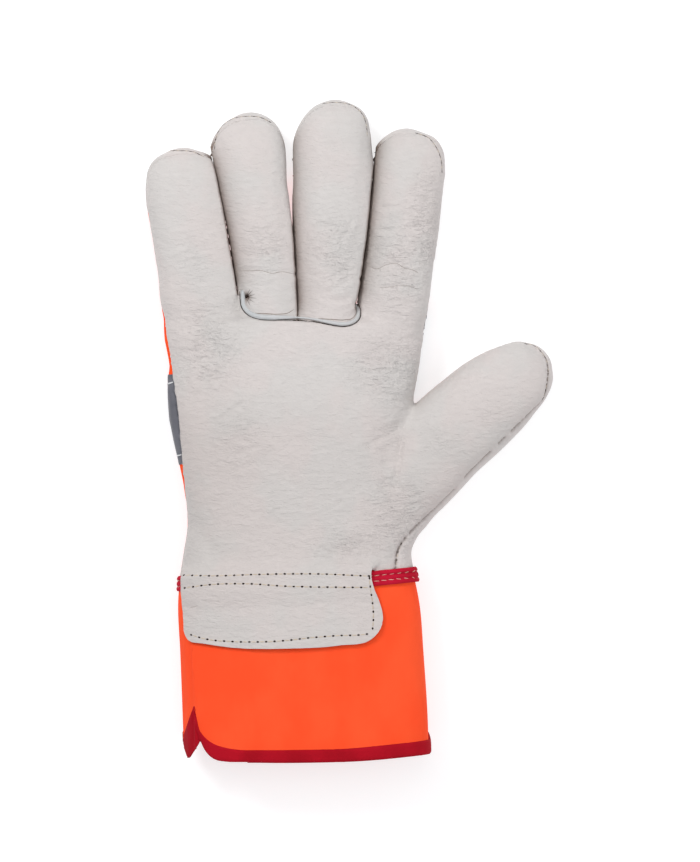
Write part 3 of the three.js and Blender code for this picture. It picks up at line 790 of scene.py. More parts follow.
strip_faces = (above_seam(centres) < np.where(centres[:, 0] < 0, strip_lap, -3.5)) & above_tape & ~on_thumb
strip_faces &= (past_strip(centres) > 0) & (past_strip(centres) < strip_rise)
print({name: int(mask.sum()) for name, mask in panel_faces.items()}, "strip:", int(strip_faces.sum()))

# %% [markdown]
# ## Softness
#
# Leather over an empty hand is never smooth. Seams pull it in, stitches gather it, knuckles leave creases, and
# the whole panel dents and swells a little. Each of these is a small move of the points along their normals,
# read from where the point lies. Smooth noise makes the dents, and a few named creases follow the photograph.
# How strongly a place is wrinkled is kept in the mesh too, because the leather's finish uses it.

# %% Smooth noise and soft steps
def lumps(spots, size, seed):
    """Smooth noise, about -1 to 1, in lumps of the given size along each axis."""
    scaled = (spots / np.array(size) + 31.7 * seed).tolist()
    return np.array([noise.noise(spot) for spot in scaled])


def ease(value, start, end):
    """0 before start, 1 after end, and smooth between them."""
    share = np.clip((value - start) / (end - start), 0, 1)
    return share * share * (3 - 2 * share)


# %% How far each point is from the seams
hand.normal_update()
spots = points_of(hand)
normals = np.array([vert.normal[:] for vert in hand.verts])
seam_tree = KDTree(len(seam_points))
for number, point in enumerate(seam_points):
    seam_tree.insert(point, number)
seam_tree.balance()
from_seam = np.array([seam_tree.find(spot)[2] for spot in spots.tolist()])
is_front = on_front(spots)
from_welt, _ = nearest_on(welt_path, spots[:, 0], spots[:, 1])
from_welt = np.where(is_front, from_welt, 99.0)


def tuck(distance, depth, reach):
    """How far leather rolls in towards a seam: a quarter round of the given reach."""
    rest = np.clip(1 - distance / reach, 0, 1)
    return depth * (1 - np.sqrt(1 - rest * rest))


# %% Wrinkled places: pixel x, pixel y, reach across, reach along, strength
wrinkled_places = (
    (424, 225, 20, 60, 1.0),
    (396, 262, 34, 60, 0.8),
    (388, 365, 44, 36, 1.0),
    (208, 345, 36, 52, 0.8),
    (240, 440, 40, 44, 0.5),
    (395, 440, 24, 22, 0.5),
    (398, 515, 34, 46, 0.9),
    (350, 545, 50, 22, 0.7),
    (440, 440, 34, 24, 0.5),
    (490, 412, 24, 18, 0.5),
    (266, 245, 24, 36, 0.7),
    (335, 250, 26, 46, 0.8),
    (196, 260, 26, 44, 0.5),
)
wrinkled = np.full(len(spots), 0.18)
for x, y, across, along, strength in wrinkled_places:
    middle = from_photo((x, y))
    away = ((spots[:, 0] - middle[0]) / (across * photo_scale)) ** 2
    away += ((spots[:, 1] - middle[1]) / (along * photo_scale)) ** 2
    wrinkled = np.maximum(wrinkled, strength * np.exp(-away))

# %% Broad hollows: pixel x and y of both ends, depth and half width in millimetres
hollows = (
    (316, 352, 358, 396, 0.5, 3.5),
    (196, 526, 214, 552, 0.5, 3.2),
    (272, 455, 290, 482, 0.3, 3.5),
    (240, 256, 280, 255, 0.2, 1.6),
    (404, 425, 372, 442, 0.5, 2.2),
    (401, 440, 395, 486, 0.5, 1.8),
)
move = np.zeros(len(spots))
for x0, y0, x1, y1, depth, half in hollows:
    apart, _ = nearest_on(from_photo([(x0, y0), (x1, y1)]), spots[:, 0], spots[:, 1])
    move -= np.where(is_front, depth * np.exp(-((apart / half) ** 2)), 0)

# %% Folds, traced from the photograph
folds = (
    ((240.5, 271), (252, 271), (262, 271), (272, 273.5), (282, 272), (294, 274)),
    ((241, 254), (256, 255.5), (266, 255), (277, 254)),
    ((252, 250), (262, 252), (275, 251)),
    ((262, 232), (270, 228)),
    ((312, 275), (320, 277)),
    ((322, 268), (334, 269), (346, 267)),
    ((336, 276), (344, 272), (352, 270)),
    ((328, 292), (340, 286), (348, 280)),
    ((344, 277), (352, 276), (360, 279)),
    ((323, 299), (336, 301), (348, 300)),
    ((320, 224), (330, 226)),
    ((342, 240), (348, 230), (352, 222)),
    ((368, 266), (377, 269), (386, 265), (396, 263.5), (404, 268), (412, 270), (420, 274)),
    ((375, 270), (384, 268), (392, 265)),
    ((398, 267), (406, 269), (418, 272)),
    ((378, 288), (392, 287), (400, 286), (410, 286.5), (420, 291)),
    ((392, 313), (400, 317.5)),
    ((380, 231), (392, 232)),
    ((408, 228), (416, 231)),
    ((424, 200), (431, 206)),
    ((382, 208), (392, 208.5)),
    ((402, 340), (410, 338), (418, 341)),
    ((360, 348), (368, 347), (376, 352), (384, 352)),
    ((360, 344), (372, 346), (384, 349), (392, 346)),
    ((376, 358), (388, 363), (398, 364)),
    ((380, 394), (390, 396), (400, 395), (409, 400)),
    ((362, 372), (370, 378), (378, 387), (386, 391)),
    ((396, 400), (405, 403)),
    ((383, 429), (392, 427), (399, 424)),
    ((376, 430), (386, 432), (394, 431), (399, 429)),
    ((378, 440), (386, 436), (394, 432)),
    ((366, 445), (370, 449)),
    ((401, 444), (400, 452), (399.5, 462), (396, 472), (394, 480), (398, 487)),
    ((384, 463), (392, 462), (398, 464)),
    ((385, 481), (392, 480), (400, 486)),
    ((380, 485), (390, 488), (398, 486)),
    ((180, 330), (192, 327), (205, 325), (216, 326)),
    ((184, 321), (196, 322), (208, 322)),
    ((196, 377), (206, 378), (216, 374), (222, 369)),
    ((196, 380), (206, 382), (218, 380)),
    ((222, 360), (230, 352), (236, 342), (240, 335)),
    ((218, 372), (230, 362), (238, 352)),
    ((223, 416), (233, 410), (243, 403)),
    ((240, 420), (250, 421), (257, 424)),
    ((248, 423), (254, 428)),
    ((235, 455), (246, 450), (258, 446)),
    ((238, 470), (248, 466), (256, 463)),
    ((337, 503), (341, 501.5)),
    ((190, 607), (197, 606)),
)
fold_depth, fold_half, fold_reach, lip_share = 0.34, 0.8, 4.0, 0.4
sunk, puffed = np.zeros(len(spots)), np.zeros(len(spots))
for fold in folds:
    route = from_photo(fold)
    near = is_front & np.all(spots[:, :2] > route.min(axis=0) - fold_reach, axis=1)
    near &= np.all(spots[:, :2] < route.max(axis=0) + fold_reach, axis=1)
    apart, _ = nearest_on(route, *spots[near, :2].T)
    sunk[near] = np.maximum(sunk[near], np.exp(-((apart / fold_half) ** 2)))
    puffed[near] = np.maximum(puffed[near], np.exp(-(((apart - 2.0) / 1.0) ** 2)))
move += fold_depth * (lip_share * puffed * (1 - sunk) - sunk)

# %% Dents and wrinkles everywhere, and the leather tucked into its seams
seam_tuck, thumb_tuck, finger_tuck, palm_tuck = (1.15, 2.3), (0.7, 2.6), (1.0, 2.8), (1.9, 1.4)  # depth, reach
top = ease(above_seam(spots), -4, 6)
move += 0.5 * lumps(spots, (34, 34, 50), 1) * (0.35 + 0.65 * top)
move += 0.22 * lumps(spots, (13, 9, 13), 2)
fine = lumps(spots, (7.5, 2.3, 5), 3) + 0.5 * lumps(spots, (4.5, 1.6, 4), 4)
move += 0.36 * wrinkled * (1 - 2 * np.abs(fine)) * top
move -= tuck(from_seam, *seam_tuck)
gathered = np.where((spots[:, 0] < -36) & (spots[:, 1] < 130), 0.0, 0.12)  # the canvas side's seam runs smooth
move -= gathered * np.exp(-from_seam / 3.5) * (1 + lumps(spots, (2.6, 2.6, 2.6), 6))
move -= np.where(spots[:, 0] > 36, tuck(from_seam, *thumb_tuck), 0) * ease(spots[:, 1], 92, 80)
on_fingers = is_front & (beyond_welt(spots) > 0)
move -= np.where(on_fingers, tuck(from_welt, *finger_tuck), tuck(from_welt, *palm_tuck))

# %% A finger stands steeply over its right neighbour, which rolls away under it, and its shadow there is painted into the leather's colour
roll_depth, roll_reach, shadow_reach = 3.4, 4.6, 2.9
rolled, deep = np.zeros(len(spots)), np.zeros(len(spots))
for number, route in enumerate(cleft_routes):
    past = right_of_cleft(number, spots)
    beside_cleft = is_front & (past > 0) & (past < 12)
    strength = np.where(beside_cleft, ease(spots[:, 1], route[0, 1] - 2, route[0, 1] + 9), 0)
    strength *= ease(spots[:, 1], route[-1, 1] - 6, route[-1, 1] - 26)
    rolled += strength * tuck(past, roll_depth, roll_reach)
    deep = np.maximum(deep, strength * np.exp(-past / shadow_reach))
# painted shade along the thumb's seam
beside_thumb = (spots[:, 0] > 36) & (spots[:, 1] < 92) & (spots[:, 2] > 0.4 * palm_thickness)
deep = np.maximum(deep, np.where(beside_thumb, 0.5 * np.exp(-((from_seam / 0.75) ** 2)), 0))

# %% The canvas stands out round the end of the knuckle strip
bulge_pixels, bulges = (300, 340, 366, 377, 440, 460, 475, 500), (0, 0.1, 0, 0.85, 0.85, 0.5, 0.35, 0)
bulge = np.interp(wrist_pixel[1] - spots[:, 1] / photo_scale, bulge_pixels, bulges)
move += bulge * ease(-spots[:, 0], 30, 42) * ease(-above_seam(spots), 0.2, 2.4)

# %% The canvas deep in the clefts is painted dark, as painted shade
for route in cleft_routes:
    apart, _ = nearest_on(route, spots[:, 0], spots[:, 1])
    reach = np.where(is_front, 0.42, 2.2)
    dark = np.exp(-((apart / reach) ** 2)) * ease(spots[:, 2], 3, 8)
    deep = np.maximum(deep, dark)

# %% The pit at the welt's left end, where the leather is gathered under a stitch
pit, pit_reach, pit_depth, pit_painted_shade_reach = from_photo((245.8, 297.2)), 1.2, 2.4, 2.0
apart = np.hypot(*(spots[:, :2] - pit).T)
move -= np.where(is_front, pit_depth * np.exp(-((apart / pit_reach) ** 2)), 0)
# painted shade in the pit
deep = np.maximum(deep, np.where(is_front, np.exp(-((apart / pit_painted_shade_reach) ** 2)), 0))

# %% Painted shade: the leather is painted a little darker over the ball of the hand, and towards the wrist and the flap
mound, mound_reach, mound_shade = from_photo((196, 470)), (26.0, 60.0), 0.09
away = np.sum(((spots[:, :2] - mound) / mound_reach) ** 2, axis=1)
shade = mound_shade * (np.exp(-away) + ease(-spots[:, 1], -95, -50))
deep = np.maximum(deep, np.where(is_front, shade, 0))

# %% The flap climbs over the wrist tape and lies on the cuff below it
down_wrist = above_wrist(spots)
over_tape = gap + trim_thickness + gap + leather_wall
on_the_cuff = gap + leather_wall
climb_at = (-tape_half - tape_drop - 7.0, -tape_half - tape_drop - 0.2, tape_top - 0.1, tape_top + 5.5)
climb = np.interp(down_wrist, climb_at, (on_the_cuff, over_tape, over_tape, 0))
fade_reach = np.interp(down_wrist, (-1.6, -0.8, tape_top - 0.3, tape_top + 1.5), (100, 1, 1, 5))
beside_flap = ease(spots[:, 0], flap_right + fade_reach, flap_right + 0.2)
beside_flap *= ease(spots[:, 0], flap_left - 1.3, flap_left + 0.6)
lift = climb * beside_flap * (spots[:, 2] > rest_height + 0.3 * palm_thickness)

# %% Move the points, keep the wrinkled places and the painted shade in the mesh
table = np.where(spots[:, 2] < 4, 0.9, 0.0)  # the lowest that a point may come to lie
moved = spots + normals * (move + lift)[:, None]
moved[:, 2] = np.maximum(moved[:, 2] - rolled, table)
set_points(hand, moved)
for name, values in (("wrinkled", wrinkled), ("deep", deep)):
    layer = hand.verts.layers.float.new(name)
    for vert, value in zip(hand.verts, values.tolist()):
        vert[layer] = value
hand.normal_update()
hand_surface = BVHTree.FromBMesh(hand)
print("moves from", round(float(move.min()), 2), "to", round(float((move + lift).max()), 2), "mm")

# %% [markdown]
# ## Finishes
#
# A finish is built once and shared by all the panels that are cut from it. Every pattern reads the object's own
# coordinates, so it is as large on each panel as it is on the real one, and stays still in every view.

# %% Small helpers for finishes
def srgb(red, green, blue):
    """A colour as it looks on a screen, from 0 to 255, as the light that Blender works with."""
    shares = [value / 255 for value in (red, green, blue)]
    linear = [s / 12.92 if s <= 0.04045 else ((s + 0.055) / 1.055) ** 2.4 for s in shares]
    return (*linear, 1.0)


class Finish:
    """A material and short ways to add nodes to it."""

    def __init__(self, name, roughness, sheen=0.0, specular=0.5):
        self.material = bpy.data.materials.new(name)
        self.material.use_nodes = True
        self.nodes = self.material.node_tree.nodes
        self.links = self.material.node_tree.links
        self.surface = self.nodes["Principled BSDF"]
        self.surface.inputs["Roughness"].default_value = roughness
        self.surface.inputs["Sheen Weight"].default_value = sheen
        self.surface.inputs["Specular IOR Level"].default_value = specular
        self.place = self.nodes.new("ShaderNodeTexCoord").outputs["Object"]

    def link(self, start, end):
        self.links.new(start, end)

    def fill(self, socket, value):
        """Links a value that comes from a node, and sets one that is a plain number or colour."""
        if isinstance(value, bpy.types.NodeSocket):
            self.link(value, socket)
        else:
            socket.default_value = value

    def mapped(self, size):
        """The place on the object, counted in lumps of the given size in millimetres."""
        node = self.nodes.new("ShaderNodeMapping")
        node.inputs["Scale"].default_value = [1 / (length * MM) for length in size]
        self.link(self.place, node.inputs["Vector"])
        return node.outputs["Vector"]

    def noise(self, size, detail=2.0, roughness=0.5, distortion=0.0):
        node = self.nodes.new("ShaderNodeTexNoise")
        node.inputs["Scale"].default_value = 1.0
        node.inputs["Detail"].default_value = detail
        node.inputs["Roughness"].default_value = roughness
        node.inputs["Distortion"].default_value = distortion
        self.link(self.mapped(size), node.inputs["Vector"])
        return node.outputs["Fac"]

    def cells(self, size):
        node = self.nodes.new("ShaderNodeTexVoronoi")
        node.inputs["Scale"].default_value = 1.0
        self.link(self.mapped(size), node.inputs["Vector"])
        return node.outputs["Distance"]

    def wave(self, size):
        node = self.nodes.new("ShaderNodeTexWave")
        node.inputs["Scale"].default_value = 1.0
        self.link(self.mapped(size), node.inputs["Vector"])
        return node.outputs["Fac"]

    def kept(self, name):
        node = self.nodes.new("ShaderNodeAttribute")
        node.attribute_name = name
        return node.outputs["Fac"]

    def remap(self, value, low, high, to_low=0.0, to_high=1.0):
        node = self.nodes.new("ShaderNodeMapRange")
        node.interpolation_type = "SMOOTHSTEP"
        for socket, number in (("From Min", low), ("From Max", high), ("To Min", to_low), ("To Max", to_high)):
            node.inputs[socket].default_value = number
        self.link(value, node.inputs["Value"])
        return node.outputs["Result"]

    def math(self, operation, first, second):
        node = self.nodes.new("ShaderNodeMath")
        node.operation = operation
        for socket, value in zip(node.inputs, (first, second)):
            self.fill(socket, value)
        return node.outputs["Value"]

    def mix(self, share, first, second, blend="MIX"):
        node = self.nodes.new("ShaderNodeMix")
        node.data_type = "RGBA"
        node.blend_type = blend
        factor = next(socket for socket in node.inputs if socket.type == "VALUE" and socket.enabled)
        colours = [socket for socket in node.inputs if socket.type == "RGBA"]
        for socket, value in zip((factor, *colours), (share, first, second)):
            self.fill(socket, value)
        return next(socket for socket in node.outputs if socket.type == "RGBA")

    def colour(self, value):
        self.fill(self.surface.inputs["Base Color"], value)

    def bump(self, height, depth, below=None):
        """Raises the surface by `depth` millimetres where the height is 1."""
        node = self.nodes.new("ShaderNodeBump")
        node.inputs["Distance"].default_value = depth * MM
        self.link(height, node.inputs["Height"])
        if below is not None:
            self.link(below, node.inputs["Normal"])
        return node.outputs["Normal"]

    def finish(self, normal):
        self.link(normal, self.surface.inputs["Normal"])
        return self.material


# %% [markdown]
# ### Leather
#
# Grain leather is nearly white here, in two tones that drift into each other. Its creases run across the hand,
# so the noise that draws them is stretched sideways, and the panels' own wrinkled places deepen them. The
# furrows and ripples are also painted a little darker, as painted shade, and the mesh's deep places are
# painted brown, as painted shade.

# %% Leather
def make_leather(name, light, blush, crease_depth):
    finish = Finish(name, roughness=0.62, sheen=0.08, specular=0.35)
    wrinkled = finish.kept("wrinkled")
    lines = finish.noise((5.2, 1.25, 3.0), detail=3.0, roughness=0.6, distortion=0.5)
    folded = finish.math("ABSOLUTE", finish.math("SUBTRACT", lines, 0.5), 0.0)
    furrow = finish.math("SUBTRACT", 1.0, finish.remap(folded, 0.0, 0.12))
    open_here = finish.remap(finish.noise((12, 6, 10), detail=2.0), 0.38, 0.62)
    strength = finish.math("MULTIPLY", finish.remap(wrinkled, 0.0, 0.95, 0.12, 1.0), open_here)
    furrows = finish.math("MULTIPLY", furrow, strength)
    ripple = finish.noise((3.8, 1.6, 2.8), detail=3.0, roughness=0.55, distortion=0.4)
    ripples = finish.math("MULTIPLY", ripple, finish.remap(wrinkled, 0.0, 0.9, 0.45, 1.0))
    fine = finish.noise((2.1, 0.75, 1.6), detail=1.0, roughness=0.5, distortion=0.8)
    crinkle = finish.remap(finish.math("ABSOLUTE", finish.math("SUBTRACT", fine, 0.5), 0.0), 0.0, 0.16)
    crinkles = finish.math("MULTIPLY", crinkle, finish.remap(wrinkled, 0.0, 0.9, 0.3, 1.0))
    pebble = finish.cells((0.8, 0.7, 0.75))
    pores = finish.noise((0.4, 0.35, 0.4), detail=2.0, roughness=0.6)
    tone = finish.remap(finish.noise((24, 30, 28), detail=3.0), 0.42, 0.58)
    colour = finish.mix(tone, light, blush)
    # painted shade: the furrows and the ripples darken the colour a little
    shade = finish.math("SUBTRACT", 1.0, finish.math("MULTIPLY", furrows, 0.02))
    painted_ripple_shade = finish.remap(ripple, 0.3, 0.7, 0.97, 1.005)
    shaded = finish.math("MULTIPLY", shade, painted_ripple_shade)
    grey = finish.nodes.new("ShaderNodeCombineColor")
    for socket in ("Red", "Green", "Blue"):
        finish.link(shaded, grey.inputs[socket])
    colour = finish.mix(1.0, colour, grey.outputs["Color"], "MULTIPLY")
    # painted shade: the places kept as deep in the mesh are mixed towards brown
    finish.colour(finish.mix(finish.math("MULTIPLY", finish.kept("deep"), 0.85), colour, srgb(104, 78, 60)))
    normal = finish.bump(furrows, -crease_depth)
    normal = finish.bump(ripples, 1.0, normal)
    normal = finish.bump(crinkles, 0.09, normal)
    normal = finish.bump(pebble, 0.03, normal)
    return finish.finish(finish.bump(pores, 0.01, normal))


leather = make_leather("pale grain leather", srgb(203, 198, 194), srgb(206, 198, 194), 0.1)
welt_leather = make_leather("welt leather", srgb(188, 190, 190), srgb(196, 196, 195), 0.06)


# %% Cloth, tape and strip
def make_cloth(name, base, deep, rib, rib_depth, weave, roughness=0.9, shaded=False):
    finish = Finish(name, roughness=roughness, specular=0.12)
    ribs = finish.wave(rib)
    threads = finish.noise(weave, detail=2.0, roughness=0.7)
    tone = finish.remap(finish.noise((18, 30, 20), detail=3.0), 0.35, 0.65)
    colour = finish.mix(tone, base, deep)
    if shaded:
        # painted shade: the canvas kept as deep in the mesh, in the clefts, is mixed towards dark brown
        colour = finish.mix(finish.math("MULTIPLY", finish.kept("deep"), 0.97), colour, srgb(52, 34, 26))
    finish.colour(colour)
    normal = finish.bump(ribs, rib_depth)
    return finish.finish(finish.bump(threads, 0.05, normal))


def make_thread(name, base, deep, rib_depth=0.03):
    return make_cloth(name, base, deep, (0.8, 0.8, wide), rib_depth, (0.2, 0.2, 0.2))


wide = 1000.0  # a rib this wide is no rib at all
ribs_along, ribs_across = (1.6, 1.6, wide), (1.2, 1.2, wide)
canvas = make_cloth(
    "orange canvas", srgb(255, 88, 38), srgb(250, 76, 30), (1.8, wide, wide), 0.05, (0.5, 0.25, 0.4),
    shaded=True,
)
cuff_cloth = make_cloth(
    "orange cuff cloth", srgb(255, 88, 46), srgb(255, 81, 40), (1.1, wide, wide), 0.06, (0.35, 1.2, 0.6)
)
tape_cloth = make_cloth("red tape", srgb(192, 22, 52), srgb(174, 14, 38), ribs_along, 0.05, (0.5, 0.4, 0.5))
hem_cloth = make_cloth("dark red tape", srgb(174, 12, 32), srgb(158, 8, 26), ribs_along, 0.05, (0.7, 0.5, 0.6))
reflective = make_cloth(
    "reflective strip", srgb(112, 112, 118), srgb(100, 100, 106), ribs_across, 0.03, (0.3, 0.3, 0.3),
    roughness=0.45,
)
ivory_thread = make_thread("ivory thread", srgb(226, 196, 180), srgb(214, 184, 166))
tan_thread = make_thread("tan thread", srgb(204, 190, 170), srgb(190, 174, 152))
white_thread = make_thread("white thread", srgb(222, 222, 222), srgb(212, 212, 212))
fold_shade = make_thread("shade in a fold", srgb(134, 120, 110), srgb(118, 104, 94), 0.01)
# painted shade: the dark of the needle holes, the pit, its small folds and the welt's edge
dark_painted_shade = make_thread("painted dark shade", srgb(58, 46, 40), srgb(44, 34, 30), 0.01)

# %% [markdown]
# ## From sheet to panel
#
# Each panel's faces are copied out of the hand. What a cut left as crumbs is dropped, the sheet is
# moved into the model's frame, and a Solidify modifier gives it the wall of real leather, inwards.

# %% Make a panel out of a sheet
def largest_region(shape):
    """Drops all but the largest connected part of a mesh."""
    unseen, best = set(shape.verts), set()
    while unseen:
        region, edge_of_it = set(), [unseen.pop()]
        while edge_of_it:
            vert = edge_of_it.pop()
            region.add(vert)
            for edge in vert.link_edges:
                other = edge.other_vert(vert)
                if other in unseen:
                    unseen.discard(other)
                    edge_of_it.append(other)
        if len(region) > len(best):
            best = region
    bmesh.ops.delete(shape, geom=[vert for vert in shape.verts if vert not in best], context="VERTS")


def only_faces(shape, keep):
    part = shape.copy()
    bmesh.ops.delete(part, geom=[f for f, kept in zip(part.faces, keep) if not kept], context="FACES")
    return part


def finish_piece(name, shape, node, material, wall=0.0, sharp=38):
    """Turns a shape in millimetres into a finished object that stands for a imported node."""
    shape.transform(to_frame)
    shape.normal_update()
    mesh = bpy.data.meshes.new(name)
    shape.to_mesh(mesh)
    shape.free()
    piece = bpy.data.objects.new(name, mesh)
    bpy.context.scene.collection.objects.link(piece)
    if wall:
        thick = piece.modifiers.new("wall", "SOLIDIFY")
        thick.thickness = wall * MM
        thick.offset = -1
        solid = bpy.data.meshes.new_from_object(piece.evaluated_get(bpy.context.evaluated_depsgraph_get()))
        piece.modifiers.clear()
        piece.data = solid
        bpy.data.meshes.remove(mesh)
    piece.data.materials.clear()
    piece.data.materials.append(material)
    piece.data.shade_smooth()
    piece.data.set_sharp_from_angle(angle=math.radians(sharp))
    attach(piece, "root")
    if node:
        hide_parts(node)
    triangles = sum(len(face.vertices) - 2 for face in piece.data.polygons)
    print(f"{name}: {triangles} triangles")
    return piece


# %% All the panels of the hand
panel_names = {
    "palm_leather": "palm_panel",
    "ring_finger_front": "ring_finger_panel",
    "middle_finger_front": "middle_finger_panel",
    "little_fingertip": "little_tip_panel",
    "ring_fingertip": "ring_tip_panel",
    "middle_fingertip": "middle_tip_panel",
    "index_finger_back": "index_back_panel",
    "thumb_back": "thumb_back_panel",
    "glove_back": "canvas_back_panel",
}
for node, name in panel_names.items():
    sheet = only_faces(hand, panel_faces[node])
    largest_region(sheet)
    if node == "glove_back":
        finish_piece(name, sheet, node, canvas, canvas_wall)
    else:
        finish_piece(name, sheet, node, leather, leather_wall)

# %% [markdown]
# ## Knuckle strip
#
# The reflective strip is a thin band laid on the canvas and sewn down along both edges, so it starts as a
# copy of the canvas under it, lifted by its own thickness.

# %% Knuckle strip
strip = only_faces(hand, strip_faces)
largest_region(strip)
strip.normal_update()
strip_pixels, strip_lifts = (378, 400, 420, 440, 460), (0.3, 0.5, 0.75, 0.5, 0.3)
strip_lift, edge_lift, edge_reach = 1.2, 0.15, 2.4
strip_points = points_of(strip)
from_edge = ease(strip_lap - above_seam(strip_points), 0, edge_reach)
for vert, inside in zip(strip.verts, from_edge.tolist()):
    pixel = wrist_pixel[1] - vert.co.y / photo_scale
    side = ease(-vert.co.x, 30, 45)
    lift = strip_lift + side * (np.interp(pixel, strip_pixels, strip_lifts) - strip_lift)
    vert.co += vert.normal * (edge_lift + (lift - edge_lift) * (inside if vert.co.x < 0 else 1))
    vert.co.z = max(vert.co.z, 0.1)
strip_surface = BVHTree.FromBMesh(strip)
finish_piece("reflective_band", strip, "knuckle_strip", reflective, 0.7)

# %% [markdown]
# ## Wrist tape
#
# A cotton tape covers the seam between hand and cuff. Two rows of stitches press it down, so its section has
# three soft ridges. It is a ring lofted across its own width: outer skin first, then back under itself.

# %% Wrist tape
tape_rows = (1.15, -1.15)
tape_sides = 260


def tape_middle(x):
    """How far up the tape's middle lies: on top it dips beside the flap."""
    return wrist_slope * x - np.interp(x, (-49, 0, 30, 48), (0.6, 1.3, 1.8, 0.8))


def section_at(sections, share):
    """What a section table says at one share of the length, on the smooth curve through its rows."""
    sections = np.array(sections)
    return smooth_curve(sections[:, 0], sections[:, 1:], np.array([share]))[0]


def tape_ring(along, out):
    """A ring round the wrist, `along` the tape's width from its middle and `out` from the leather."""
    y = along - tape_drop
    if y > 0:
        sizes, roundness = section_at(palm_sections, y / palm_length) * palm_size, palm_roundness
    else:
        sizes, roundness = section_at(cuff_sections, -y / cuff_length) * cuff_size, cuff_roundness
    middle = rest_height + sizes[3]
    across, up = slice_points(*(sizes + out), middle, roundness, tape_sides)
    up = np.where(up <= rest_height + 1e-6, up - out, up)
    return np.column_stack([across, along + tape_middle(across), up])


def tape_height(along):
    edge = 0.55 * (abs(along) / tape_half) ** 6
    grooves = sum(0.42 * math.exp(-(((along - row) / 0.42) ** 2)) for row in tape_rows)
    return gap + 1.15 - edge - grooves


tape_loops = [tape_ring(along, tape_height(along)) for along in np.linspace(-tape_half, tape_half, 29)]
tape_loops += [tape_ring(along, 0.1) for along in np.linspace(tape_half, -tape_half, 5)]
tape = bmesh.new()
add_loft(tape, tape_loops, closed=False)
ends = [edge for edge in tape.edges if edge.is_boundary]
bmesh.ops.bridge_loops(tape, edges=ends)
bmesh.ops.recalc_face_normals(tape, faces=tape.faces)
tape_surface = BVHTree.FromBMesh(tape)
finish_piece("wrist_tape", tape, "wrist_binding", tape_cloth)

# %% [markdown]
# ## Cuff
#
# The cuff is stiff cloth sewn into a tube, with a slit at the hem on the little finger's side where the front
# half laps over the back half. Its hem is cut with the curved knife, along the plan above and straight below.

# %% The cuff's tube
cuff_sides = 230
tube = bmesh.new()
upper_rings = [ring for ring in palm_rings(1.3, cuff_sides) if ring[0, 1] < 4][::-1]
add_loft(tube, upper_rings + cuff_rings(1.3, cuff_sides)[1:], closed=False)
bmesh.ops.recalc_face_normals(tube, faces=tube.faces)
tube.verts.layers.float_vector.new("place")


def beside(path, distance):
    """A path moved sideways, to its left where distance is positive."""
    ahead = directions(path)
    return path + distance * np.column_stack([-ahead[:, 1], ahead[:, 0]])


def inside_hem(edge, inset=0.0):
    """How far points lie inside one edge of the hem tape, less an inset."""
    front_edge, back_edge = smooth_path(front_hem[edge], 1.5), back_hem[edge]
    slit_top = (front_edge[0] + back_edge[0]) / 2
    corners = [(200.0, front_edge[-1][1]), (200.0, 60.0), (-200.0, 60.0), (-200.0, back_edge[-1][1])]
    zone = np.vstack([[slit_top], front_edge, corners, back_edge[::-1]])

    def measure(spots):
        above = signed_area_side(zone, spots[:, 0], spots[:, 1])
        below = spots[:, 1] - under_hem[edge]
        share = ease(spots[:, 2], side_height, under_top)
        return share * above + (1 - share) * below - inset

    return measure


def surface_below(surface, x, y):
    point, normal, _, _ = surface.ray_cast(Vector((x, y, 100)), Vector((0, 0, -1)))
    return point, normal


def near_hem(spots):
    return spots[:, 1] < -0.6 * cuff_length


tucked_in = 1.2  # how far the cuff reaches under its hem tape
cuff_top = -2.5  # where the cuff begins, measured from the wrist seam
for edge, insets in (("outer", (0.0, 0.5, 1.2)), ("inner", (0.0, -0.5, -tucked_in))):
    for inset in insets:
        cut_where_zero(tube, inside_hem(edge, inset), near_hem)
cut_where_zero(tube, lambda spots: above_wrist(spots) - cuff_top)
print("cuff tube:", len(tube.verts), "points")

# %% The cuff's softness: a lap beside the slit, and a few soft waves
tube_centres = centres_of(tube)
cuff_faces = (inside_hem("inner", -tucked_in)(tube_centres) > 0) & (above_wrist(tube_centres) < cuff_top)
hem_faces = (inside_hem("outer", 0.0)(tube_centres) > 0) & (inside_hem("inner", 0.0)(tube_centres) < 0)
tube.normal_update()
spots = points_of(tube)
normals = np.array([vert.normal[:] for vert in tube.verts])
lap_line = from_photo([(188, 580), (190, 610), (191.5, 645), (193, 680), (194, 706)])
past_lap = spots[:, 0] - np.interp(-spots[:, 1], -lap_line[:, 1], lap_line[:, 0])
is_top = spots[:, 2] > under_top
below_lap = np.where(is_top, 1 - ease(past_lap, -0.5, 0.4), 0) * ease(-spots[:, 1], 10, 40)
cuff_move = 0.35 * lumps(spots, (40, 55, 50), 8) - 1.0 * below_lap * ease(spots[:, 2], under_top, under_top + 5)
hem_edge = np.minimum(np.abs(inside_hem("outer", 0.0)(spots)), np.abs(inside_hem("inner", 0.0)(spots)))
spots = spots + normals * cuff_move[:, None]
spots[:, 2] = np.maximum(spots[:, 2], 1.0)
set_points(tube, spots)
tube.normal_update()
normals = np.array([vert.normal[:] for vert in tube.verts])
behind_corner = signed_area_side(slit_corner, tube_centres[:, 0], tube_centres[:, 1]) > 0.8
cuff_sheet = only_faces(tube, cuff_faces & ~(behind_corner & (tube_centres[:, 2] > under_top - 6)))
largest_region(cuff_sheet)
cuff_surface = BVHTree.FromBMesh(tube)
finish_piece("cuff_tube", cuff_sheet, "cuff", cuff_cloth, cuff_wall)

# %% Hem tape, wrapped round the cuff's edge
hem_out, hem_thickness = 1.1, 3.4
hem_lift = hem_out - 0.7 * (1 - np.clip(hem_edge / 1.3, 0, 1)) ** 2
set_points(tube, spots + normals * hem_lift[:, None])
slit_side = front_hem["outer"][:9]


def slit_x(y):
    """How far across the front half's edge lies in the slit."""
    return np.interp(-y, -slit_side[:, 1], slit_side[:, 0])


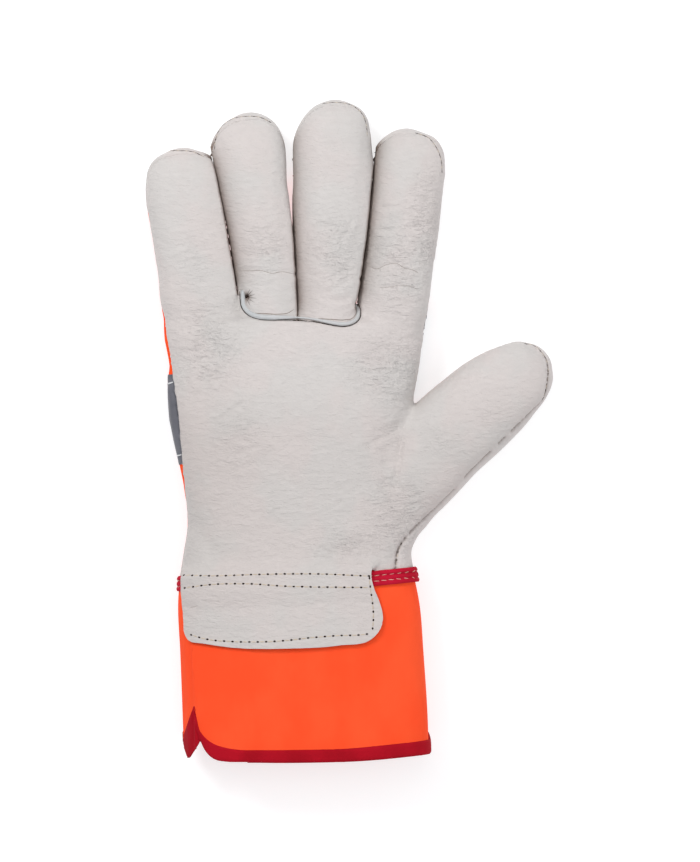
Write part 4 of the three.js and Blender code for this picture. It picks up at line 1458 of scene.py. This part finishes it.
in_slit = (tube_centres[:, 0] < slit_x(tube_centres[:, 1]) - 0.05) & (tube_centres[:, 2] > under_top - 6)
hem = only_faces(tube, hem_faces & ~in_slit)
largest_region(hem)
for vert in hem.verts:
    vert.co.z = max(vert.co.z, 0.1)


# %% The hem tape of the back half's corner, which shows in the slit: a thin piece laid on the cuff
def in_corner(spots):
    return signed_area_side(slit_corner, spots[:, 0], spots[:, 1])


corner = bmesh.new()
corner_low, corner_high, corner_step = from_photo((178, 760)), from_photo((208, 702)), 0.35
corner_size = corner_high - corner_low
corner_place = Matrix.Translation((*(corner_low + corner_size / 2), 0)) @ Matrix.Diagonal((*corner_size, 1, 1))
steps_across, steps_along = (corner_size / corner_step).astype(int)
bmesh.ops.create_grid(corner, x_segments=steps_across, y_segments=steps_along, size=0.5, matrix=corner_place)
corner.verts.layers.float_vector.new("place")
cut_where_zero(corner, in_corner)
outside = in_corner(centres_of(corner)) < 0
bmesh.ops.delete(corner, geom=[f for f, out in zip(corner.faces, outside) if out], context="FACES")
for vert in corner.verts:
    point, _ = surface_below(cuff_surface, vert.co.x, vert.co.y)
    left_of_slit = min(max((slit_x(vert.co.y) - vert.co.x) / 1.2, 0.0), 1.0)
    vert.co.z = max(point.z if point else 0, side_height) + 0.25 + 0.65 * left_of_slit
finish_piece("hem_corner", corner, None, hem_cloth, 0.8)
finish_piece("hem_tape", hem, "hem_binding", hem_cloth, hem_thickness)

# %% [markdown]
# ## Welt
#
# Between the palm and the two middle fingers' fronts a folded strip of leather is caught in the seam. Its
# rounded edge stands out as a thin welt. It is one rounded section swept along the seam on the hand's surface.

# %% Welt
welt_line = smooth_path(beside(smooth_path(welt_route, 2), 0.6), 0.8)
width_marks = (0, 0.03, 0.33, 0.45, 0.5, 0.6, 0.72, 0.95, 1)
widths = np.interp(
    np.linspace(0, 1, len(welt_line)), width_marks, (0.55, 0.95, 1.0, 0.6, 0.35, 0.45, 0.75, 0.75, 0.4)
)
heights = []
for x, y in welt_line:
    point, _ = surface_below(hand_surface, x, y)
    heights.append(point.z if point else np.nan)
heights = np.array(heights)
known = ~np.isnan(heights)
heights = np.interp(np.arange(len(heights)), np.flatnonzero(known), heights[known])
heights = np.convolve(np.pad(heights, 4, mode="edge"), np.ones(9) / 9, mode="valid")
welt_rings = []
for (x, y), (ahead_x, ahead_y), half, height in zip(welt_line, directions(welt_line), widths, heights):
    angle = np.linspace(0, 2 * math.pi, 14, endpoint=False)
    across, up = half * np.cos(angle), 0.75 * np.sin(angle) * min(1.0, half / 0.6)
    welt_rings.append(np.column_stack([x - across * ahead_y, y + across * ahead_x, height + 0.75 + up]))
welt = bmesh.new()
add_loft(welt, welt_rings)
bmesh.ops.recalc_face_normals(welt, faces=welt.faces)
finish_piece("welt_cord", welt, "finger_welt", welt_leather)

# %% [markdown]
# ## Stitches
#
# Every stitch is one short stretch of thread between two needle holes. A small rounded body, sunk a little
# into the leather, reads as thread at any distance, and a darker one between two stitches is the hole's painted
# shade.
# The rows are drawn on the photograph and dropped onto the surface below them, and all the stitches of a row's
# thread are joined in one mesh.

# %% Sew a row
def even_spots(path, pitch):
    """Places along a path at an even pitch, with the direction of the path at each."""
    run = run_along(path)
    at = np.arange(pitch / 2, run[-1], pitch)
    spots = np.column_stack([np.interp(at, run, values) for values in path.T])
    ahead = np.column_stack([np.interp(at, run, np.gradient(values, run)) for values in path.T])
    return spots, ahead


def add_bead(shape, point, normal, ahead, size, sides=8, rows=5):
    ahead = (ahead - normal * ahead.dot(normal)).normalized()
    turn = Matrix((ahead, normal.cross(ahead), normal)).transposed().to_4x4()
    bead = Matrix.Translation(point) @ turn @ Matrix.Diagonal((*size, 1))
    bmesh.ops.create_uvsphere(shape, u_segments=sides, v_segments=rows, radius=0.5, matrix=bead)


def sew_row(threads, holes, surface, path, pitch, size, hole):
    path = smooth_path(path, 0.7)
    spots, ahead = even_spots(path, pitch / 2)
    for number, (spot, direction) in enumerate(zip(spots, ahead)):
        point, normal = surface_below(surface, *spot)
        if point is None or normal.z < 0.05:
            continue
        direction = Vector((*direction, 0))
        if number % 2:
            add_bead(threads, point + normal * 0.02, normal, direction, size)
        elif hole:
            # painted shade of the needle hole: a dark bead
            add_bead(holes, point - normal * 0.02, normal, direction, hole, 6, 4)


# %% Rows on the flap
flap_rows = (
    ((182, 574.8), (213.6, 575.4), (260, 574), (320.7, 573.6), (369, 575.7)),
    ((183, 587.9), (210, 584.3), (249.3, 583.4), (285, 585.7), (338.6, 586.8), (367, 587)),
    (
        (189.5, 633.8), (204.6, 638.2), (231.4, 640.9), (258.2, 641.3), (285, 640), (311.8, 637),
        (338.6, 635), (360, 634.3), (369, 633.2),
    ),
    ((369.3, 575.7), (370.4, 588.2), (372.5, 602.5), (373.4, 616.8), (372.5, 629.3)),
)
flap_pitch = 8.4 * photo_scale
flap_stitch, flap_hole = (2.2, 0.45, 0.35), (1.25, 0.9, 0.3)
leather_thread, painted_shade_marks = bmesh.new(), bmesh.new()
for row in flap_rows:
    sew_row(leather_thread, painted_shade_marks, hand_surface, from_photo(row), flap_pitch, flap_stitch, flap_hole)

# %% Stitches that show in the seams at the fingertips and along the thumb
tip_rows = (
    ((156, 155), (165, 151.6), (180, 150.6), (195, 152.4), (204, 157)),
    ((214.5, 150), (216, 138), (222, 126), (232, 119), (247, 116.3), (261, 117.6), (270, 122)),
    ((322, 103.6), (336, 102.4), (351, 105), (361.5, 113), (366, 124), (367.3, 137)),
    ((415, 132.6), (428, 137.6), (436, 147), (441, 160), (442, 172)),
    (
        (524, 343.5), (534, 345.6), (541.5, 352), (546.5, 360), (548.2, 370), (547.4, 380), (545.6, 390),
        (542.5, 400),
    ),
    ((402, 542), (398.6, 550), (397, 557), (396.6, 566)),
)
tip_pitch, tip_stitch, tip_hole = 3.4, (1.2, 0.3, 0.25), (1.5, 0.42, 0.3)
for row in tip_rows:
    sew_row(leather_thread, painted_shade_marks, hand_surface, from_photo(row), tip_pitch, tip_stitch, tip_hole)

# %% Painted shade at the sharpest part of each fold: a thin dark line sunk in the leather
fold_lines = bmesh.new()
fold_sides = 5


def add_fold_line(route, half, lines=fold_lines):
    path = smooth_path(route, 0.5)
    angle = np.linspace(0, 2 * math.pi, fold_sides, endpoint=False)
    rings = []
    for number, ((x, y), (ahead_x, ahead_y)) in enumerate(zip(path, directions(path))):
        point, normal = surface_below(hand_surface, x, y)
        if point is None or normal.z < 0.12:
            continue
        from_end = min(number, len(path) - 1 - number)
        radius = half * min(1.0, 0.25 + 0.25 * from_end)
        across, up = radius * np.cos(angle), radius * np.sin(angle) + point.z - 0.35 * radius
        rings.append(np.column_stack([x - across * ahead_y, y + across * ahead_x, up]))
    if len(rings) > 2:
        add_loft(lines, rings)


sharp_folds = {0: 0.09, 12: 0.08, 15: 0.06, 31: 0.06, 47: 0.08, 48: 0.1}  # number in the list, half width
for number, half in sharp_folds.items():
    add_fold_line(from_photo(folds[number]), half)
for row in tip_rows[:5]:
    add_fold_line(from_photo(row), 0.15)

# %% Painted shade of the pit at the welt's left end and of the small folds that run out from it, and a painted shadow along the welt
pucker_ends = ((253, 290.5), (255, 294.5), (257, 298.5), (254.5, 302.5), (250, 305), (246.5, 304), (250, 289.5))
pit_point, pit_normal = surface_below(hand_surface, *pit)
# painted shade in the pit: a dark bead
add_bead(painted_shade_marks, pit_point, pit_normal, Vector((1, 0, 0)), (2.4, 1.9, 0.5))
for end in pucker_ends:
    add_fold_line(np.array([pit, (pit + from_photo(end)) / 2, from_photo(end)]), 0.11, painted_shade_marks)
welt_stitching = (
    ((244.4, 300), (245.4, 306), (249, 311), (254, 313), (264, 313.6), (280, 314.2), (288, 313), (294, 309.5)),
    ((318, 318.6), (330, 319.4), (344, 320), (352, 318.6), (355.8, 313.6), (355.4, 307)),
)
for route in welt_stitching:
    add_fold_line(from_photo(route), 0.16)
# painted shadow along the welt's edge on the palm's side
add_fold_line(beside(smooth_path(welt_route, 2), -0.55), 0.22, painted_shade_marks)
bmesh.ops.recalc_face_normals(painted_shade_marks, faces=painted_shade_marks.faces)
bmesh.ops.recalc_face_normals(fold_lines, faces=fold_lines.faces)
finish_piece("fold_lines", fold_lines, None, fold_shade)

# %% Rows on the knuckle strip
strip_thread = bmesh.new()
strip_rows, strip_end = (3.9, strip_rise - 3.5), np.arange(-58, -44, 0.45)
for inset in strip_rows:
    for x in strip_end:
        point, normal = surface_below(strip_surface, x, strip_low + inset + strip_slope * x)
        if point and normal.z > 0.01:
            add_bead(strip_thread, point + normal * 0.1, normal, Vector((1, strip_slope, 0)), (1.3, 0.55, 0.5))
finish_piece("strip_stitches", strip_thread, None, white_thread)

# %% Rows on the wrist tape
tape_thread = bmesh.new()
tape_pitch = 7.3 * photo_scale
for row in tape_rows:
    across = np.linspace(-60, 60, 160)
    path = np.column_stack([across, row + tape_middle(across)])
    sew_row(tape_thread, painted_shade_marks, tape_surface, path, tape_pitch, (2.6, 0.28, 0.3), None)
finish_piece("flap_stitches", leather_thread, None, tan_thread)
finish_piece("painted_shade_marks", painted_shade_marks, None, dark_painted_shade)
finish_piece("tape_stitches", tape_thread, None, ivory_thread)

# %% [markdown]
# ## Stage
#
# The glove lies on a plain light table, which glows a little as the photograph's did, under soft lamps. The
# camera hangs straight above it with a long lens, so the glove shows at the size and place that it has there.

# %% Floor
floor_mesh = bmesh.new()
floor_size, floor_glow = 3.0, 0.62
bmesh.ops.create_grid(floor_mesh, x_segments=1, y_segments=1, size=floor_size)
floor_data = bpy.data.meshes.new("floor")
floor_mesh.to_mesh(floor_data)
floor_mesh.free()
floor = bpy.data.objects.new("floor", floor_data)
bpy.context.scene.collection.objects.link(floor)
floor_finish = Finish("pale floor", roughness=0.9, specular=0.1)
floor_finish.colour(srgb(188, 188, 188))
floor_finish.surface.inputs["Emission Color"].default_value = (1, 1, 1, 1)
floor_finish.surface.inputs["Emission Strength"].default_value = floor_glow
floor_data.materials.append(floor_finish.material)
floor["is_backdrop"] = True

# %% Camera
image_width, image_height = 700, 862
camera_height = 8.0
look_height = 0.014
camera_data = bpy.data.cameras.new("camera")
camera = bpy.data.objects.new("camera", camera_data)
bpy.context.scene.collection.objects.link(camera)
bpy.context.scene.camera = camera
camera_data.sensor_fit = "VERTICAL"
camera_data.sensor_height = 24.0
camera_data.lens = camera_data.sensor_height * camera_height / (image_height * photo_scale * MM)
image_middle = from_photo((image_width / 2, image_height / 2))
camera.location = to_frame @ Vector((*image_middle, 0))
camera.location.z = look_height + camera_height
camera_data.clip_end = 20


# %% Lamps
def add_lamp(name, place, size, power):
    data = bpy.data.lights.new(name, "AREA")
    data.shape = "DISK"
    data.size = size
    data.energy = power
    lamp = bpy.data.objects.new(name, data)
    lamp.location = place
    lamp.rotation_euler = (-Vector(place)).to_track_quat("-Z", "Y").to_euler()
    bpy.context.scene.collection.objects.link(lamp)


add_lamp("key", (-0.9, 1.0, 1.5), 0.7, 19)
add_lamp("fill", (1.2, -0.3, 1.6), 1.4, 12)
add_lamp("top", (0.0, 0.5, 2.2), 1.6, 12)
world = bpy.data.worlds.new("soft room")
bpy.context.scene.world = world
world.use_nodes = True
room_light = world.node_tree.nodes["Background"].inputs
room_light["Color"].default_value = (0.9, 0.93, 1.0, 1)
room_light["Strength"].default_value = 0.4
bpy.context.scene.view_settings.view_transform = "Standard"

# %% Keep both boxes, and finish
low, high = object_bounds()
boxes = {"cad": [list(cad_low), list(cad_high)], "visual": [list(low), list(high)]}
print("the CAD box", boxes["cad"], "and the visual model's", boxes["visual"])
